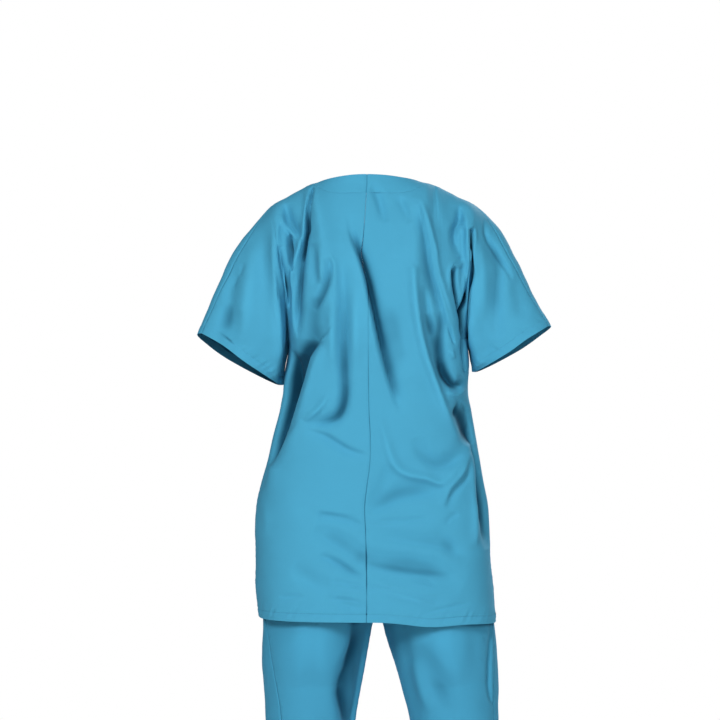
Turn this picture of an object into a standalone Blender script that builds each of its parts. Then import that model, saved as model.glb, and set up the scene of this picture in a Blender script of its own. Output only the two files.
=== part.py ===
"""Medical scrubs: a short-sleeved top with a V neck and side vents, and straight trousers.

Both keep the hollow form that wearing gives them. The wearer faces -Y, +Z is up, and the
wearer's left is +X. The origin is the middle of the neck opening, at the height of the
side neck points, where the shoulders carry the top. Every panel is a wall of cloth: a grid
laid on a smooth surface, pushed in and out by the folds, then given its thickness.

Tables are in millimetres. A panel's place is (u, v). On the top, |u| runs 0 to 1 from the
centre to the side seam and on to 2 at the cuff, with u > 0 on the wearer's left, and v runs
-1 to 0 from the hem to the underarm and on to 1 at the neckline and the overarm seam.
"""

from collections import namedtuple

import bmesh
import bpy
import numpy as np

MM = 0.001
WALL = 1.5 * MM
GAP = 0.3 * MM
HEM_VENT = 78 * MM
VENT_SPREAD = 4 * MM
FACING_WALL = 1.0 * MM
WELD = 1e-6
TINY = 1e-12
POCKET_EASE = 3 * MM

NECK_COLUMNS = 5
SIDE_COLUMNS = 7
SLEEVE_COLUMNS = 6
BODY_ROWS = 20
UPPER_ROWS = 12
FACING_ROWS = 2
FACING_COLUMNS = 7
NECK_U = 0.42
POCKET_COLUMNS = (4, 10)
POCKET_ROWS = (3, 12)
LEG_COLUMNS = 6
RISE_ROWS = 7
LEG_ROWS = 11
BAND_ROWS = 2

X = np.array([1.0, 0.0, 0.0])
Y = np.array([0.0, 1.0, 0.0])
Z = np.array([0.0, 0.0, 1.0])

CLOTH = (0.062, 0.330, 0.510, 1.0)
INSIDE = (0.055, 0.300, 0.470, 1.0)

# The top's girth, from the underarm to the hem: how far it reaches to each side, where the
# centre-back seam runs, and how far the back and the front stand out.
Girth = namedtuple("Girth", "z left right centre back front")
BODY = (
    Girth(-690, 182, 195, 11, 131, -120),
    Girth(-640, 187, 192, 11, 129, -120),
    Girth(-600, 188, 188, 11, 127, -119),
    Girth(-545, 188, 186, 11, 124, -117),
    Girth(-505, 186, 183, 11, 121, -116),
    Girth(-475, 179, 177, 7, 119, -115),
    Girth(-440, 169, 171, 2, 118, -115),
    Girth(-400, 160, 164, 1, 118, -116),
    Girth(-360, 149, 157, 3, 119, -118),
    Girth(-330, 141, 151, 4, 121, -121),
    Girth(-300, 137.5, 150, 5, 123, -123),
    Girth(-240, 133, 149, 7, 124, -123),
)

# The shoulder and overarm seam: turn is how far round the arm its back edge faces, in degrees.
Seam = namedtuple("Seam", "u x y z turn")
SHOULDER_LEFT = (
    Seam(NECK_U, 100, -22, -3, -20),
    Seam(0.70, 134, -12, -18, -10),
    Seam(1.00, 167, 4, -37, 8),
    Seam(1.32, 207, 25, -98, 40),
    Seam(1.65, 239, 31, -160, 40),
    Seam(2.00, 273, 30, -236, 38),
)
SHOULDER_RIGHT = (
    Seam(NECK_U, 92, -22, -3, -20),
    Seam(0.70, 130, -12, -17, -10),
    Seam(1.00, 170, 3, -38, 14),
    Seam(1.18, 196, 15, -76, 42),
    Seam(1.34, 215, 23, -112, 42),
    Seam(1.65, 244, 28, -166, 38),
    Seam(2.00, 277, 30, -225, 34),
)

# Where the short under-sleeve seam starts, at the underarm, and ends, at the cuff.
UNDERARM = {1: (134, 0, -255), -1: (149, 0, -245)}
CUFF_CORNER = {1: (143, 0, -318), -1: (158, 0, -297)}
CENTRE_UNDERARM_Z = -250
HEM_Z = {1: -686, 0: -685, -1: -695}

# The neckline: its lowest point at the centre and the two handles of its curve.
NECK_BACK = ((10, 57, 15), (58, 57, 15), (0, 48, 6))
NECK_FRONT = ((4, -110, -152), (30, -104, -104), (-10, -46, -26))
NECK_BACK_LEAN = (0.0, -0.42, 0.91)
NECK_FRONT_LEAN = (0.0, 0.12, 0.99)
CUFF_DROOP = 0.20
UNDERARM_CALM = 0.2
SLEEVE_CLEAR = 6 * MM
FACING_DROP = {"back": (32, 32, 32), "front": (46, 50, 32)}

# How far each column's curve follows its ends' directions, as a share of its length.
Reach = namedtuple("Reach", "u back front")
REACH = (
    Reach(0.00, 0.36, 0.34),
    Reach(NECK_U, 0.37, 0.34),
    Reach(0.80, 0.40, 0.38),
    Reach(1.00, 0.46, 0.42),
    Reach(1.35, 0.45, 0.48),
    Reach(2.00, 0.43, 0.52),
)

# One leg's girth, down from the waistband. turn is how far the outer seam is turned to the
# back, in degrees, and seam_x and seam_y are where it lies above the crotch.
Leg = namedtuple("Leg", "z outer inner seam_x seam_y back front turn")
LEG_LEFT = (
    Leg(-410, 128, -3, 128, 0, 94, -92, 0),
    Leg(-445, 130, -3, 130, 0, 96, -94, 0),
    Leg(-520, 154, -4, 154, 2, 106, -100, 0),
    Leg(-600, 172, -6, 171, 8, 112, -104, 6),
    Leg(-655, 177, -8, 174, 20, 108, -103, 14),
    Leg(-710, 177, 3, 168, 38, 98, -98, 28),
    Leg(-774, 177, 14, 154, 60, 90, -92, 42),
    Leg(-840, 174, 26, 140, 70, 84, -88, 52),
    Leg(-950, 174, 36, 140, 60, 74, -80, 45),
    Leg(-1150, 188, 52, 184, 26, 64, -72, 18),
    Leg(-1390, 205, 73, 204, 8, 62, -68, 5),
)
LEG_RIGHT = (
    Leg(-410, 134, 3, 134, 0, 94, -92, 0),
    Leg(-445, 136, 3, 136, 0, 96, -94, 0),
    Leg(-520, 162, 4, 162, 2, 106, -100, 0),
    Leg(-600, 182, 6, 182, 8, 112, -104, 5),
    Leg(-655, 190, 8, 188, 18, 108, -103, 10),
    Leg(-710, 195, 18, 190, 26, 98, -98, 17),
    Leg(-774, 199, 38, 192, 34, 90, -92, 24),
    Leg(-840, 200, 56, 191, 38, 84, -88, 29),
    Leg(-950, 204, 68, 198, 30, 74, -80, 22),
    Leg(-1150, 226, 90, 222, 18, 64, -72, 12),
    Leg(-1390, 246, 114, 246, 8, 62, -68, 4),
)
WAIST_TOP_Z, WAIST_Z, CROTCH_Z, ANKLE_Z = -410, -445, -655, -1390
CROTCH_V = 0.26
RISE_BULGE = {"back": (112, -560), "front": (-104, -560)}
CROTCH_X = -8
RING_V = 0.10

# Folds lie along a curve through head, middle and foot, given as x and z. depth is out of
# the cloth (in where negative), left and right are its widths towards +X and -X, and start
# and end are its strength at the two ends.
FOLD_SQUARE = 0.6
Fold = namedtuple("Fold", "face head middle foot depth left right start end")
TOP_FOLDS = (
    # Left arm, back: the deep fold from the armpit, the rounded ridge beside it, the crevice.
    Fold("back", (96, -10), (104, -150), (124, -345), -14, 12, 18, 0.3, 0.2),
    Fold("back", (122, -80), (122, -200), (130, -350), 9, 10, 10, 0.2, 0.2),
    Fold("back", (150, -85), (142, -150), (138, -225), -6, 13, 12, 0.0, 0.0),
    Fold("back", (140, -38), (128, -62), (114, -95), -6, 10, 10, 0.0, 0.3),
    # Long diagonal from the neck to the small of the back, and the hollows beside it.
    Fold("back", (38, -50), (6, -185), (-44, -380), -8, 9, 28, 0.0, 0.0),
    Fold("back", (54, -90), (28, -190), (0, -310), 5, 24, 12, 0.0, 0.0),
    Fold("back", (63, -105), (76, -150), (92, -195), 6, 11, 11, 0.0, 0.0),
    Fold("back", (98, -180), (92, -250), (96, -325), -9, 14, 18, 0.0, 0.0),
    Fold("back", (84, -245), (116, -330), (140, -410), -10, 11, 18, 0.0, 0.0),
    Fold("back", (46, -165), (53, -263), (45, -350), 7, 13, 10, 0.0, 0.0),
    Fold("back", (42, -352), (76, -374), (112, -384), -7, 12, 12, 0.0, 0.0),
    Fold("back", (148, -385), (160, -430), (174, -505), -10, 12, 12, 0.0, 0.0),
    Fold("back", (112, -395), (60, -418), (13, -434), 5, 10, 10, 0.0, 0.0),
    Fold("back", (66, -518), (36, -534), (10, -544), -3, 11, 11, 0.0, 0.0),
    # Right arm, back.
    Fold("back", (-157, -80), (-153, -140), (-150, -210), -6, 12, 13, 0.0, 0.0),
    Fold("back", (-124, -135), (-129, -185), (-140, -225), -5, 11, 11, 0.1, 0.2),
    Fold("back", (-133, -36), (-133, -75), (-136, -112), -7, 9, 9, 0.0, 0.2),
    Fold("back", (-75, -30), (-95, -120), (-126, -230), 7, 16, 12, 0.0, 0.0),
    Fold("back", (-60, -135), (-80, -260), (-116, -360), 8, 14, 14, 0.0, 0.0),
    Fold("back", (-108, -180), (-112, -290), (-108, -410), -10, 20, 20, 0.0, 0.0),
    Fold("back", (-80, -402), (-112, -442), (-148, -430), -9, 13, 13, 0.0, 0.0),
    Fold("back", (-26, -438), (-60, -464), (-104, -479), -7, 13, 13, 0.0, 0.0),
    Fold("back", (-150, -390), (-152, -430), (-138, -475), -9, 11, 11, 0.0, 0.0),
    Fold("back", (-166, -435), (-173, -490), (-181, -535), -10, 9, 12, 0.0, 0.0),
    Fold("back", (4, -498), (-50, -506), (-104, -486), -4, 17, 17, 0.0, 0.0),
    # Hem waves, back.
    Fold("back", (-60, -550), (-64, -630), (-66, -690), -6, 24, 24, 0.0, 1.0),
    Fold("back", (70, -550), (76, -630), (80, -690), -5, 26, 26, 0.0, 1.0),
    # Sleeves, back.
    Fold("back", (213, -90), (216, -160), (205, -240), -8, 13, 13, 0.0, 0.1),
    Fold("back", (-184, -104), (-198, -170), (-194, -260), -9, 13, 13, 0.0, 0.2),
    # Front: drag from the bust and the armpits, and soft waves to the hem.
    Fold("front", (152, -70), (143, -150), (138, -230), -8, 13, 12, 0.2, 0.0),
    Fold("front", (-159, -70), (-154, -150), (-149, -225), -8, 12, 13, 0.2, 0.0),
    Fold("front", (122, -100), (112, -190), (92, -310), -10, 13, 15, 0.0, 0.0),
    Fold("front", (-126, -100), (-114, -195), (-100, -330), -10, 15, 13, 0.0, 0.0),
    Fold("front", (62, -225), (74, -380), (66, -560), 7, 18, 18, 0.0, 0.2),
    Fold("front", (-54, -250), (-72, -400), (-78, -620), 7, 18, 18, 0.0, 0.2),
    Fold("front", (8, -215), (16, -420), (10, -690), -7, 26, 26, 0.0, 1.0),
    Fold("front", (130, -335), (108, -412), (56, -445), -7, 13, 13, 0.0, 0.0),
    Fold("front", (-132, -345), (-104, -422), (-46, -460), -7, 13, 13, 0.0, 0.0),
    Fold("front", (210, -96), (214, -170), (203, -245), -8, 13, 13, 0.0, 0.1),
    Fold("front", (-190, -105), (-200, -180), (-195, -255), -8, 13, 13, 0.0, 0.1),
)
LEG_FOLDS = (
    Fold("back", (24, -690), (34, -735), (64, -800), -6, 10, 12, 0.2, 0.0),
    Fold("back", (-22, -690), (-44, -760), (-80, -850), -6, 12, 12, 0.2, 0.0),
    Fold("back", (-60, -700), (-84, -770), (-116, -850), 5, 14, 14, 0.0, 0.0),
    Fold("back", (70, -900), (96, -985), (136, -1010), -6, 12, 12, 0.0, 0.0),
    Fold("back", (-100, -920), (-134, -1000), (-172, -1020), -6, 12, 12, 0.0, 0.0),
    Fold("back", (110, -1100), (130, -1240), (142, -1390), -5, 16, 16, 0.0, 1.0),
    Fold("back", (-150, -1100), (-168, -1240), (-182, -1390), -5, 16, 16, 0.0, 1.0),
    Fold("front", (20, -680), (50, -730), (110, -740), -6, 10, 10, 0.2, 0.0),
    Fold("front", (-30, -680), (-64, -730), (-130, -740), -6, 10, 10, 0.2, 0.0),
    Fold("front", (100, -620), (98, -900), (136, -1390), 5, 12, 12, 0.0, 1.0),
    Fold("front", (-112, -620), (-130, -900), (-178, -1390), 5, 12, 12, 0.0, 1.0),
    Fold("front", (80, -930), (110, -960), (150, -940), -5, 10, 10, 0.0, 0.0),
    Fold("front", (-110, -950), (-140, -980), (-185, -960), -5, 10, 10, 0.0, 0.0),
)


# ---------------------------------------------------------------- curves


def through(table, key, field, at):
    """The field's value at 'at', on a smooth curve through the table's rows, in metres for lengths."""
    keys = np.array([getattr(row, key) for row in table], float)
    values = np.array([getattr(row, field) for row in table], float)
    return smooth_curve(keys, values, at)


def smooth_curve(keys, values, at):
    order = np.argsort(keys)
    keys = keys[order]
    values = values[order]
    slopes = np.gradient(values, keys, axis=0)
    at = np.clip(at, keys[0], keys[-1])
    i = np.clip(np.searchsorted(keys, at) - 1, 0, len(keys) - 2)
    step = keys[i + 1] - keys[i]
    t = (at - keys[i]) / step
    before = (1 + 2 * t) * (1 - t) ** 2 * values[i] + t * (1 - t) ** 2 * step * slopes[i]
    after = t**2 * (3 - 2 * t) * values[i + 1] - t**2 * (1 - t) * step * slopes[i + 1]
    return before + after


def smooth_step(low, high, at):
    t = np.clip((at - low) / (high - low), 0, 1)
    return t * t * (3 - 2 * t)


def mix(a, b, share):
    return a + (b - a) * share


def unit(vectors):
    length = np.linalg.norm(vectors, axis=-1, keepdims=True)
    return vectors / np.maximum(length, TINY)


def bezier(a, b, c, d, t):
    t = t[..., None]
    return (1 - t) ** 3 * a + 3 * (1 - t) ** 2 * t * b + 3 * (1 - t) * t**2 * c + t**3 * d


def points(x, y, z):
    return np.stack(np.broadcast_arrays(x, y, z), axis=-1) * MM


# ---------------------------------------------------------------- the top's smooth form


def hem_height(u):
    side = np.where(u > 0, HEM_Z[1], HEM_Z[-1])
    return mix(HEM_Z[0], side, np.clip(np.abs(u), 0, 1) ** 2)


def body_ring(face, u, v):
    """A half ring round the body, from the centre to one side seam, at v of -1 to 0."""
    side = np.where(u > 0, 1, -1)
    across = np.clip(np.abs(u), 0, 1)
    underarm = np.where(u > 0, UNDERARM[1][2], UNDERARM[-1][2])
    centre_z = mix(CENTRE_UNDERARM_Z, HEM_Z[0], -v)
    side_z = mix(underarm, np.where(u > 0, HEM_Z[1], HEM_Z[-1]), -v)
    reach = np.where(
        u > 0, through(BODY, "z", "left", side_z), through(BODY, "z", "right", side_z)
    )
    centre = through(BODY, "z", "centre", centre_z) if face == "back" else 4.0
    out = through(BODY, "z", face, centre_z)
    width = side * reach - centre
    start = points(centre, out, centre_z)
    first = points(centre + 0.72 * width, out, centre_z)
    last = points(side * reach, 0.74 * out, side_z)
    end = points(side * reach, 0 * out, side_z)
    return bezier(start, first, last, end, across)


def under_sleeve(u):
    """The seam under the sleeve, from the underarm (1) to the cuff (2)."""
    side = np.where(u > 0, 1, -1)[..., None]
    t = np.clip(np.abs(u) - 1, 0, 1)[..., None]
    start = np.where(side > 0, UNDERARM[1], UNDERARM[-1]) * MM
    end = np.where(side > 0, CUFF_CORNER[1], CUFF_CORNER[-1]) * MM
    seam = mix(start, end, t)
    return seam * np.concatenate([side, side * side, side * side], axis=-1)


def shoulder_field(name, u):
    at = np.abs(u)
    left = through(SHOULDER_LEFT, "u", name, at)
    right = through(SHOULDER_RIGHT, "u", name, at)
    return np.where(u > 0, left, right)


def shoulder_seam(u):
    """The shoulder and overarm seam, and the cloth's direction across it from back to front."""
    side = np.where(u > 0, 1, -1)
    place = points(side * shoulder_field("x", u), shoulder_field("y", u), shoulder_field("z", u))
    turn = np.radians(shoulder_field("turn", u))[..., None]
    nudge = 0.02 * side
    run = shoulder_field("x", u + nudge) - shoulder_field("x", u - nudge)
    fall = shoulder_field("z", u + nudge) - shoulder_field("z", u - nudge)
    out = unit(np.stack([-side * fall, 0 * run, run], axis=-1))
    return place, -Y * np.cos(turn) + out * np.sin(turn)


def top_edge(face, u):
    """The upper end of each column and its direction there: the neckline, then the shoulder seam."""
    side = np.where(u > 0, 1, -1)
    at = np.abs(u)
    seam, across = shoulder_seam(np.where(at < NECK_U, side * NECK_U, u))
    droop = np.array([0.0, 0.0, CUFF_DROOP]) * smooth_step(1.4, 2.0, at)[..., None]
    arrive = across if face == "back" else unit(droop - across)
    centre, handle, tail = NECK_BACK if face == "back" else NECK_FRONT
    lean = np.array(NECK_BACK_LEAN if face == "back" else NECK_FRONT_LEAN)
    t = np.clip(at / NECK_U, 0, 1)
    start = np.array(centre) * MM + 0 * seam
    mirror = np.stack([side, side * side, side * side], axis=-1)
    first = start + (np.array(handle) - np.array(centre)) * mirror * MM
    last = seam + np.array(tail) * mirror * MM
    neck = bezier(start, first, last, seam, t)
    neck_arrive = unit(mix(lean, arrive, smooth_step(0.1, 1.0, t)[..., None]))
    is_neck = (at < NECK_U)[..., None]
    return np.where(is_neck, neck, seam), np.where(is_neck, neck_arrive, arrive)


def column(face, u, v):
    """A column of the upper block, from the underarm row to the neckline or the overarm seam."""
    at = np.abs(u)
    outward = 1 if face == "back" else -1
    step = 0.01
    ring = body_ring(face, u, 0 * v)
    bottom = np.where((at > 1)[..., None], under_sleeve(u), ring)
    rising = unit(ring - body_ring(face, u, 0 * v - step))
    crevice = np.array([0.0, 0.68 * outward, 0.73])
    sleeve = np.array([0.0, 1.0 * outward, 0.0 if face == "back" else -0.12])
    leave = mix(rising, crevice, smooth_step(0.72, 1.0, at)[..., None])
    leave = unit(mix(leave, sleeve, smooth_step(1.0, 1.3, at)[..., None]))
    top, arrive = top_edge(face, u)
    length = np.linalg.norm(top - bottom, axis=-1)
    reach = (through(REACH, "u", face, at) * length)[..., None]
    drops = np.array(FACING_DROP[face]) * MM
    drop = smooth_curve(np.array([0, NECK_U / 2, NECK_U]), drops, np.clip(at, 0, NECK_U))
    band = FACING_ROWS / UPPER_ROWS
    share = drop / (length * 1.06)
    t = np.where(v < 1 - band, v / (1 - band) * (1 - share), 1 - (1 - v) / band * share)
    clear = smooth_step(1.0, 1.1, at) * smooth_step(0, 0.08, v) * (1 - smooth_step(0.5, 0.8, v))
    aside = np.sign(u)[..., None] * X * (SLEEVE_CLEAR * clear)[..., None]
    return bezier(bottom, bottom + leave * reach, top - arrive * reach, top, t) + aside


def top_form(face, u, v):
    """The top's smooth surface, without folds."""
    below = body_ring(face, u, np.minimum(v, 0))
    above = column(face, u, np.maximum(v, 0))
    return np.where((v < 0)[..., None], below, above)


# ---------------------------------------------------------------- the trousers' smooth form


def leg_form(face, side, u, v):
    """One leg's surface: u from the outer seam (0) to the centre seam or inseam (1), v from the
    waistband's top (-1) through its seam (0) and the crotch (CROTCH_V) to the ankle (1)."""
    table = LEG_LEFT if side > 0 else LEG_RIGHT
    outward = 1 if face == "back" else -1
    rise = np.clip(v / CROTCH_V, 0, 1)
    fall = np.clip((v - CROTCH_V) / (1 - CROTCH_V), 0, 1)
    outer_z = np.where(
        v < 0,
        mix(WAIST_Z, WAIST_TOP_Z, -v),
        mix(mix(WAIST_Z, CROTCH_Z - 15, rise), ANKLE_Z, fall),
    )
    depth = through(table, "z", face, outer_z)
    turn = np.radians(through(table, "z", "turn", outer_z))
    seam_x = through(table, "z", "seam_x", outer_z)
    outer = points(side * seam_x, through(table, "z", "seam_y", outer_z), outer_z)
    leave = outward * Y * np.cos(turn)[..., None] - outward * X * side * np.sin(turn)[..., None]

    waist = points(-3, through(table, "z", face, outer_z), outer_z)
    bulge_y, bulge_z = RISE_BULGE[face]
    start = points(-3, through(table, "z", face, WAIST_Z + 0 * v), WAIST_Z)
    first = points(-4 + 0 * v, bulge_y + 0 * v, bulge_z + 0 * v)
    last = points(CROTCH_X + 0 * v, bulge_y * 0.62 + 0 * v, CROTCH_Z - 4 + 0 * v)
    crotch = points(CROTCH_X + 0 * v, 0 * v, CROTCH_Z + 0 * v)
    rise_point = bezier(start, first, last, crotch, rise)
    inner_z = mix(CROTCH_Z, ANKLE_Z, fall)
    inseam = points(side * through(table, "z", "inner", inner_z), 0 * v, inner_z)
    inner = np.where((v < 0)[..., None], waist, np.where((v < CROTCH_V)[..., None], rise_point, inseam))
    down = smooth_step(0.45, 1.0, rise)[..., None]
    arrive = unit(mix(-X * side, -Y * outward, down) + 0 * inner)

    span = np.linalg.norm(outer - inner, axis=-1)
    thick = np.abs(depth * MM)
    leave_reach = (mix(0.62, 0.85, down[..., 0]) * thick + 0.08 * span)[..., None]
    arrive_reach = mix(0.56 * span, 1.15 * thick, down[..., 0])[..., None]
    hip = bezier(outer, outer + leave * leave_reach, inner - arrive * arrive_reach, inner, u)
    return mix(hip, leg_ring(face, side, u, fall), smooth_step(0, RING_V, fall)[..., None])


def leg_ring(face, side, u, fall):
    """The same stretch of one leg as an oval ring, which takes over below the crotch."""
    table = LEG_LEFT if side > 0 else LEG_RIGHT
    z = mix(mix(CROTCH_Z - 15, ANKLE_Z, fall), mix(CROTCH_Z, ANKLE_Z, fall), u)
    outer = through(table, "z", "outer", z)
    inner = through(table, "z", "inner", z)
    turn = through(table, "z", "turn", z)
    angle = np.radians(mix(turn, 180 if face == "back" else -180, u))
    behind = np.sin(angle) > 0
    depth = np.where(behind, through(table, "z", "back", z), -through(table, "z", "front", z))
    x = (outer + inner) / 2 + (outer - inner) / 2 * np.cos(angle)
    return points(side * x, depth * np.sin(angle), z)


# ---------------------------------------------------------------- folds


def fold_shift(folds, place, facing):
    """How far the folds move the cloth at each place: out of it, and square to the body."""
    moved = np.zeros(place.shape)
    flat = place[..., [0, 2]]
    for fold in folds:
        outward = 1 if fold.face == "back" else -1
        weight = smooth_step(0.05, 0.45, facing[..., 1] * outward)
        head, middle, foot = (np.array(end) * MM for end in (fold.head, fold.middle, fold.foot))
        pull = 2 * middle - (head + foot) / 2
        t = np.linspace(0, 1, 12)[:, None]
        path = (1 - t) ** 2 * head + 2 * (1 - t) * t * pull + t**2 * foot
        nearest = np.full(weight.shape, np.inf)
        shape = np.zeros(weight.shape)
        for i in range(len(path) - 1):
            along = path[i + 1] - path[i]
            away = flat - path[i]
            s = np.clip((away @ along) / (along @ along), 0, 1)
            off = away - s[..., None] * along
            distance = np.hypot(off[..., 0], off[..., 1])
            width = np.where(off[..., 0] > 0, fold.left, fold.right) * MM
            at = (i + s) / (len(path) - 1)
            ends = mix(fold.start, fold.end, at)
            strength = ends + (1 - ends) * (1 - np.abs(2 * at - 1) ** 2.5)
            here = strength * np.exp(-((distance / width) ** 2))
            shape = np.where(distance < nearest, here, shape)
            nearest = np.minimum(nearest, distance)
        way = unit(mix(facing, Y * outward, FOLD_SQUARE))
        moved += way * (fold.depth * MM * shape * weight)[..., None]
    return moved


def facing_of(form, face, u, v):
    """The smooth surface's outward direction."""
    step = 1e-3
    across = form(u + step, v) - form(u - step, v)
    up = form(u, v + step) - form(u, v - step)
    outward = -1 if face == "back" else 1
    return outward * unit(np.cross(across, up))


# ---------------------------------------------------------------- walls


# A panel's columns and rows, its outer points and the way in at each. A sleeved panel has no
# faces where |u| > 1 and v < 0.
Grid = namedtuple("Grid", "us vs spot into sleeved")


def grid_of(us, vs, place, sleeved=False):
    u, v = np.meshgrid(us, vs)
    spot, rims, facing = place(u, v)
    return Grid(us, vs, spot, ways_in(spot, rims, facing), sleeved)


def part_of(grid, columns, rows, out):
    """Part of a panel's grid, moved out of the cloth, or in where out is negative."""
    spot = grid.spot[rows, columns]
    into = grid.into[rows, columns]
    return Grid(grid.us[columns], grid.vs[rows], spot - into * out, into, grid.sleeved)


def add_material(name, colour, roughness):
    material = bpy.data.materials.new(name)
    material.use_nodes = True
    shader = material.node_tree.nodes["Principled BSDF"]
    shader.inputs["Base Color"].default_value = colour
    shader.inputs["Roughness"].default_value = roughness
    shader.inputs["Metallic"].default_value = 0.0
    return material


def heading(spot, axis):
    """The grid's direction along an axis: at each point, midway between its two edges there."""
    edges = unit(np.diff(spot, axis=axis))
    first = edges.take([0], axis=axis)
    last = edges.take([-1], axis=axis)
    return np.concatenate([first, edges], axis=axis) + np.concatenate([edges, last], axis=axis)


def ways_in(spot, rims, facing):
    """The unit way in through the cloth at each of a grid's points: as its seams give it, and
    elsewhere square to the grid."""
    square = unit(np.cross(heading(spot, 1), heading(spot, 0)))
    square *= -np.sign(np.sum(square * facing))
    at_seam = np.abs(rims).sum(axis=-1, keepdims=True) > 0
    return np.where(at_seam, rims, square)


def add_wall(name, grid, wall, colour=CLOTH):
    """A panel: a flat grid of faces moved to the grid's outer points, its unused corner cut
    off, and then thickened inwards."""
    rows, columns = grid.spot.shape[:2]
    mesh = bmesh.new()
    bmesh.ops.create_grid(mesh, x_segments=columns - 1, y_segments=rows - 1, size=0.5)
    inward = mesh.verts.layers.float_vector.new("inward")
    spare = []
    for face in mesh.faces:
        middle = face.calc_center_median()
        across = np.interp(middle.x + 0.5, np.linspace(0, 1, columns), grid.us)
        up = np.interp(middle.y + 0.5, np.linspace(0, 1, rows), grid.vs)
        if grid.sleeved and abs(across) > 1 and up < 0:
            spare.append(face)
    for vert in mesh.verts:
        column = round((vert.co.x + 0.5) * (columns - 1))
        row = round((vert.co.y + 0.5) * (rows - 1))
        vert.co = grid.spot[row, column]
        vert[inward] = grid.into[row, column]
    bmesh.ops.delete(mesh, geom=spare, context="FACES")
    bmesh.ops.remove_doubles(mesh, verts=mesh.verts, dist=WELD)
    bmesh.ops.triangulate(mesh, faces=list(mesh.faces), quad_method="SHORT_EDGE")
    made = bmesh.ops.extrude_face_region(mesh, geom=list(mesh.faces), use_keep_orig=True)
    for piece in made["geom"]:
        if isinstance(piece, bmesh.types.BMVert):
            piece.co += piece[inward] * wall
    bmesh.ops.recalc_face_normals(mesh, faces=mesh.faces)
    data = bpy.data.meshes.new(name)
    mesh.to_mesh(data)
    mesh.free()
    data.shade_smooth()
    data.set_sharp_from_angle(angle=np.radians(50))
    data.materials.append(add_material(name, colour, 0.75))
    panel = bpy.data.objects.new(name, data)
    bpy.context.scene.collection.objects.link(panel)
    return panel


def rim(tangent, across, facing):
    """The way in through the cloth at a seam: square to the seam and to the way across it."""
    way = unit(np.cross(tangent, across))
    inside = np.sign(np.sum(way * facing, axis=-1, keepdims=True))
    return -way * inside


# ---------------------------------------------------------------- the top's panels


def top_skin(face, u, v):
    """The top's outer surface with its folds, and its smooth surface's outward direction. The
    other face's folds reach it only over the shoulder and the arm."""
    base = top_form(face, u, v)
    facing = facing_of(lambda a, b: top_form(face, a, b), face, inside_u(u), inside_v(u, v))
    calm = smooth_step(0.82, 1.0, np.abs(u)) * (1 - smooth_step(0.0, UNDERARM_CALM, np.abs(v)))
    own = [fold for fold in TOP_FOLDS if fold.face == face]
    other = [fold for fold in TOP_FOLDS if fold.face != face]
    shift = fold_shift(own, base, facing) * (1 - calm)[..., None]
    over = smooth_step(0.6, 0.8, v)[..., None]
    return base + shift + fold_shift(other, base, facing) * over, facing


def inside_u(u):
    """Moves a place off the centre line and the cuff, where the surface's halves end."""
    side = np.where(u < 0, -1, 1)
    return side * np.clip(np.abs(u), 2e-3, 2 - 2e-3)


def inside_v(u, v):
    return np.clip(v, np.where(np.abs(u) > 1, 2e-3, -1 + 2e-3), 1 - 2e-3)


def place_on_top(face, half):
    """Places a panel's grid. half is the side of a back piece, or 0 where it crosses the centre."""
    outward = 1 if face == "back" else -1

    def place(u, v):
        u = np.where(u == 0, 1e-9 * (half or 1), u)
        at = np.abs(u)
        spot, facing = top_skin(face, u, v)
        into = np.zeros_like(spot)
        step = 1e-3
        level = inside_v(u, v)
        up = top_form(face, u, level + step) - top_form(face, u, level - step)
        side = np.where(u > 0, 1, -1)[..., None]
        z = spot[..., 2]
        hem = hem_height(u) * MM
        opening = VENT_SPREAD * smooth_step(0, 1, (hem + HEM_VENT - z) / HEM_VENT)

        side_seam = np.isclose(at, 1) & (v <= 0)
        under = np.isclose(v, 0) & (at > 1)
        shoulder = np.isclose(v, 1) & (at > NECK_U - 1e-6)
        centre = (at < 1e-6) & bool(half)
        along_under = under_sleeve(side[..., 0] * 1.6) - under_sleeve(side[..., 0] * 1.5)
        _, across = shoulder_seam(np.where(at < NECK_U, side[..., 0] * NECK_U, u))
        nudge = 2e-2
        along_seam = (
            shoulder_seam(side[..., 0] * np.clip(at + nudge, NECK_U, 2))[0]
            - shoulder_seam(side[..., 0] * np.clip(at - nudge, NECK_U, 2))[0]
        )
        pull = np.zeros_like(spot)
        for where, way, tangent, away in (
            (side_seam, Y * outward, up, GAP / 2 + opening),
            (under, Y * outward, along_under, GAP / 2 + 0 * opening),
            (shoulder, -across * outward, along_seam, GAP / 2 + 0 * opening),
            (centre, X * half, up, GAP / 2 + 0 * opening),
        ):
            way = np.broadcast_to(way, spot.shape)
            rims = rim(tangent, way, facing)
            into = np.where(where[..., None], rims, into)
            pull += np.where(where[..., None], way * away[..., None], 0)
        underarm = (np.isclose(at, 1) & np.isclose(v, 0))[..., None]
        into = np.where(underarm, Z, into)
        return spot + pull, into, facing

    return place


def top_columns(half):
    neck = np.linspace(0, NECK_U, NECK_COLUMNS + 1)
    side = np.linspace(NECK_U, 1, SIDE_COLUMNS + 1)[1:]
    sleeve = 1 + np.linspace(0, 1, SLEEVE_COLUMNS + 1)[1:] ** 1.25
    left = np.concatenate([neck, side, sleeve])
    right = -left[::-1]
    if half > 0:
        return left
    if half < 0:
        return right
    return np.concatenate([right, left[1:]])


def top_rows():
    body = np.linspace(-1, 0, BODY_ROWS + 1)
    upper = np.linspace(0, 1, UPPER_ROWS + 1)
    return np.concatenate([body, upper[1:]])


def add_neck_facing(face, grid):
    """The facing inside the neck opening, as wide as its columns and rows at the top edge."""
    middle = len(grid.us) // 2
    columns = slice(middle - FACING_COLUMNS, middle + FACING_COLUMNS + 1)
    facing = part_of(grid, columns, slice(-FACING_ROWS - 1, None), -(WALL + GAP))
    add_wall(f"neck_facing_{face}", facing, FACING_WALL, INSIDE)


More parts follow.
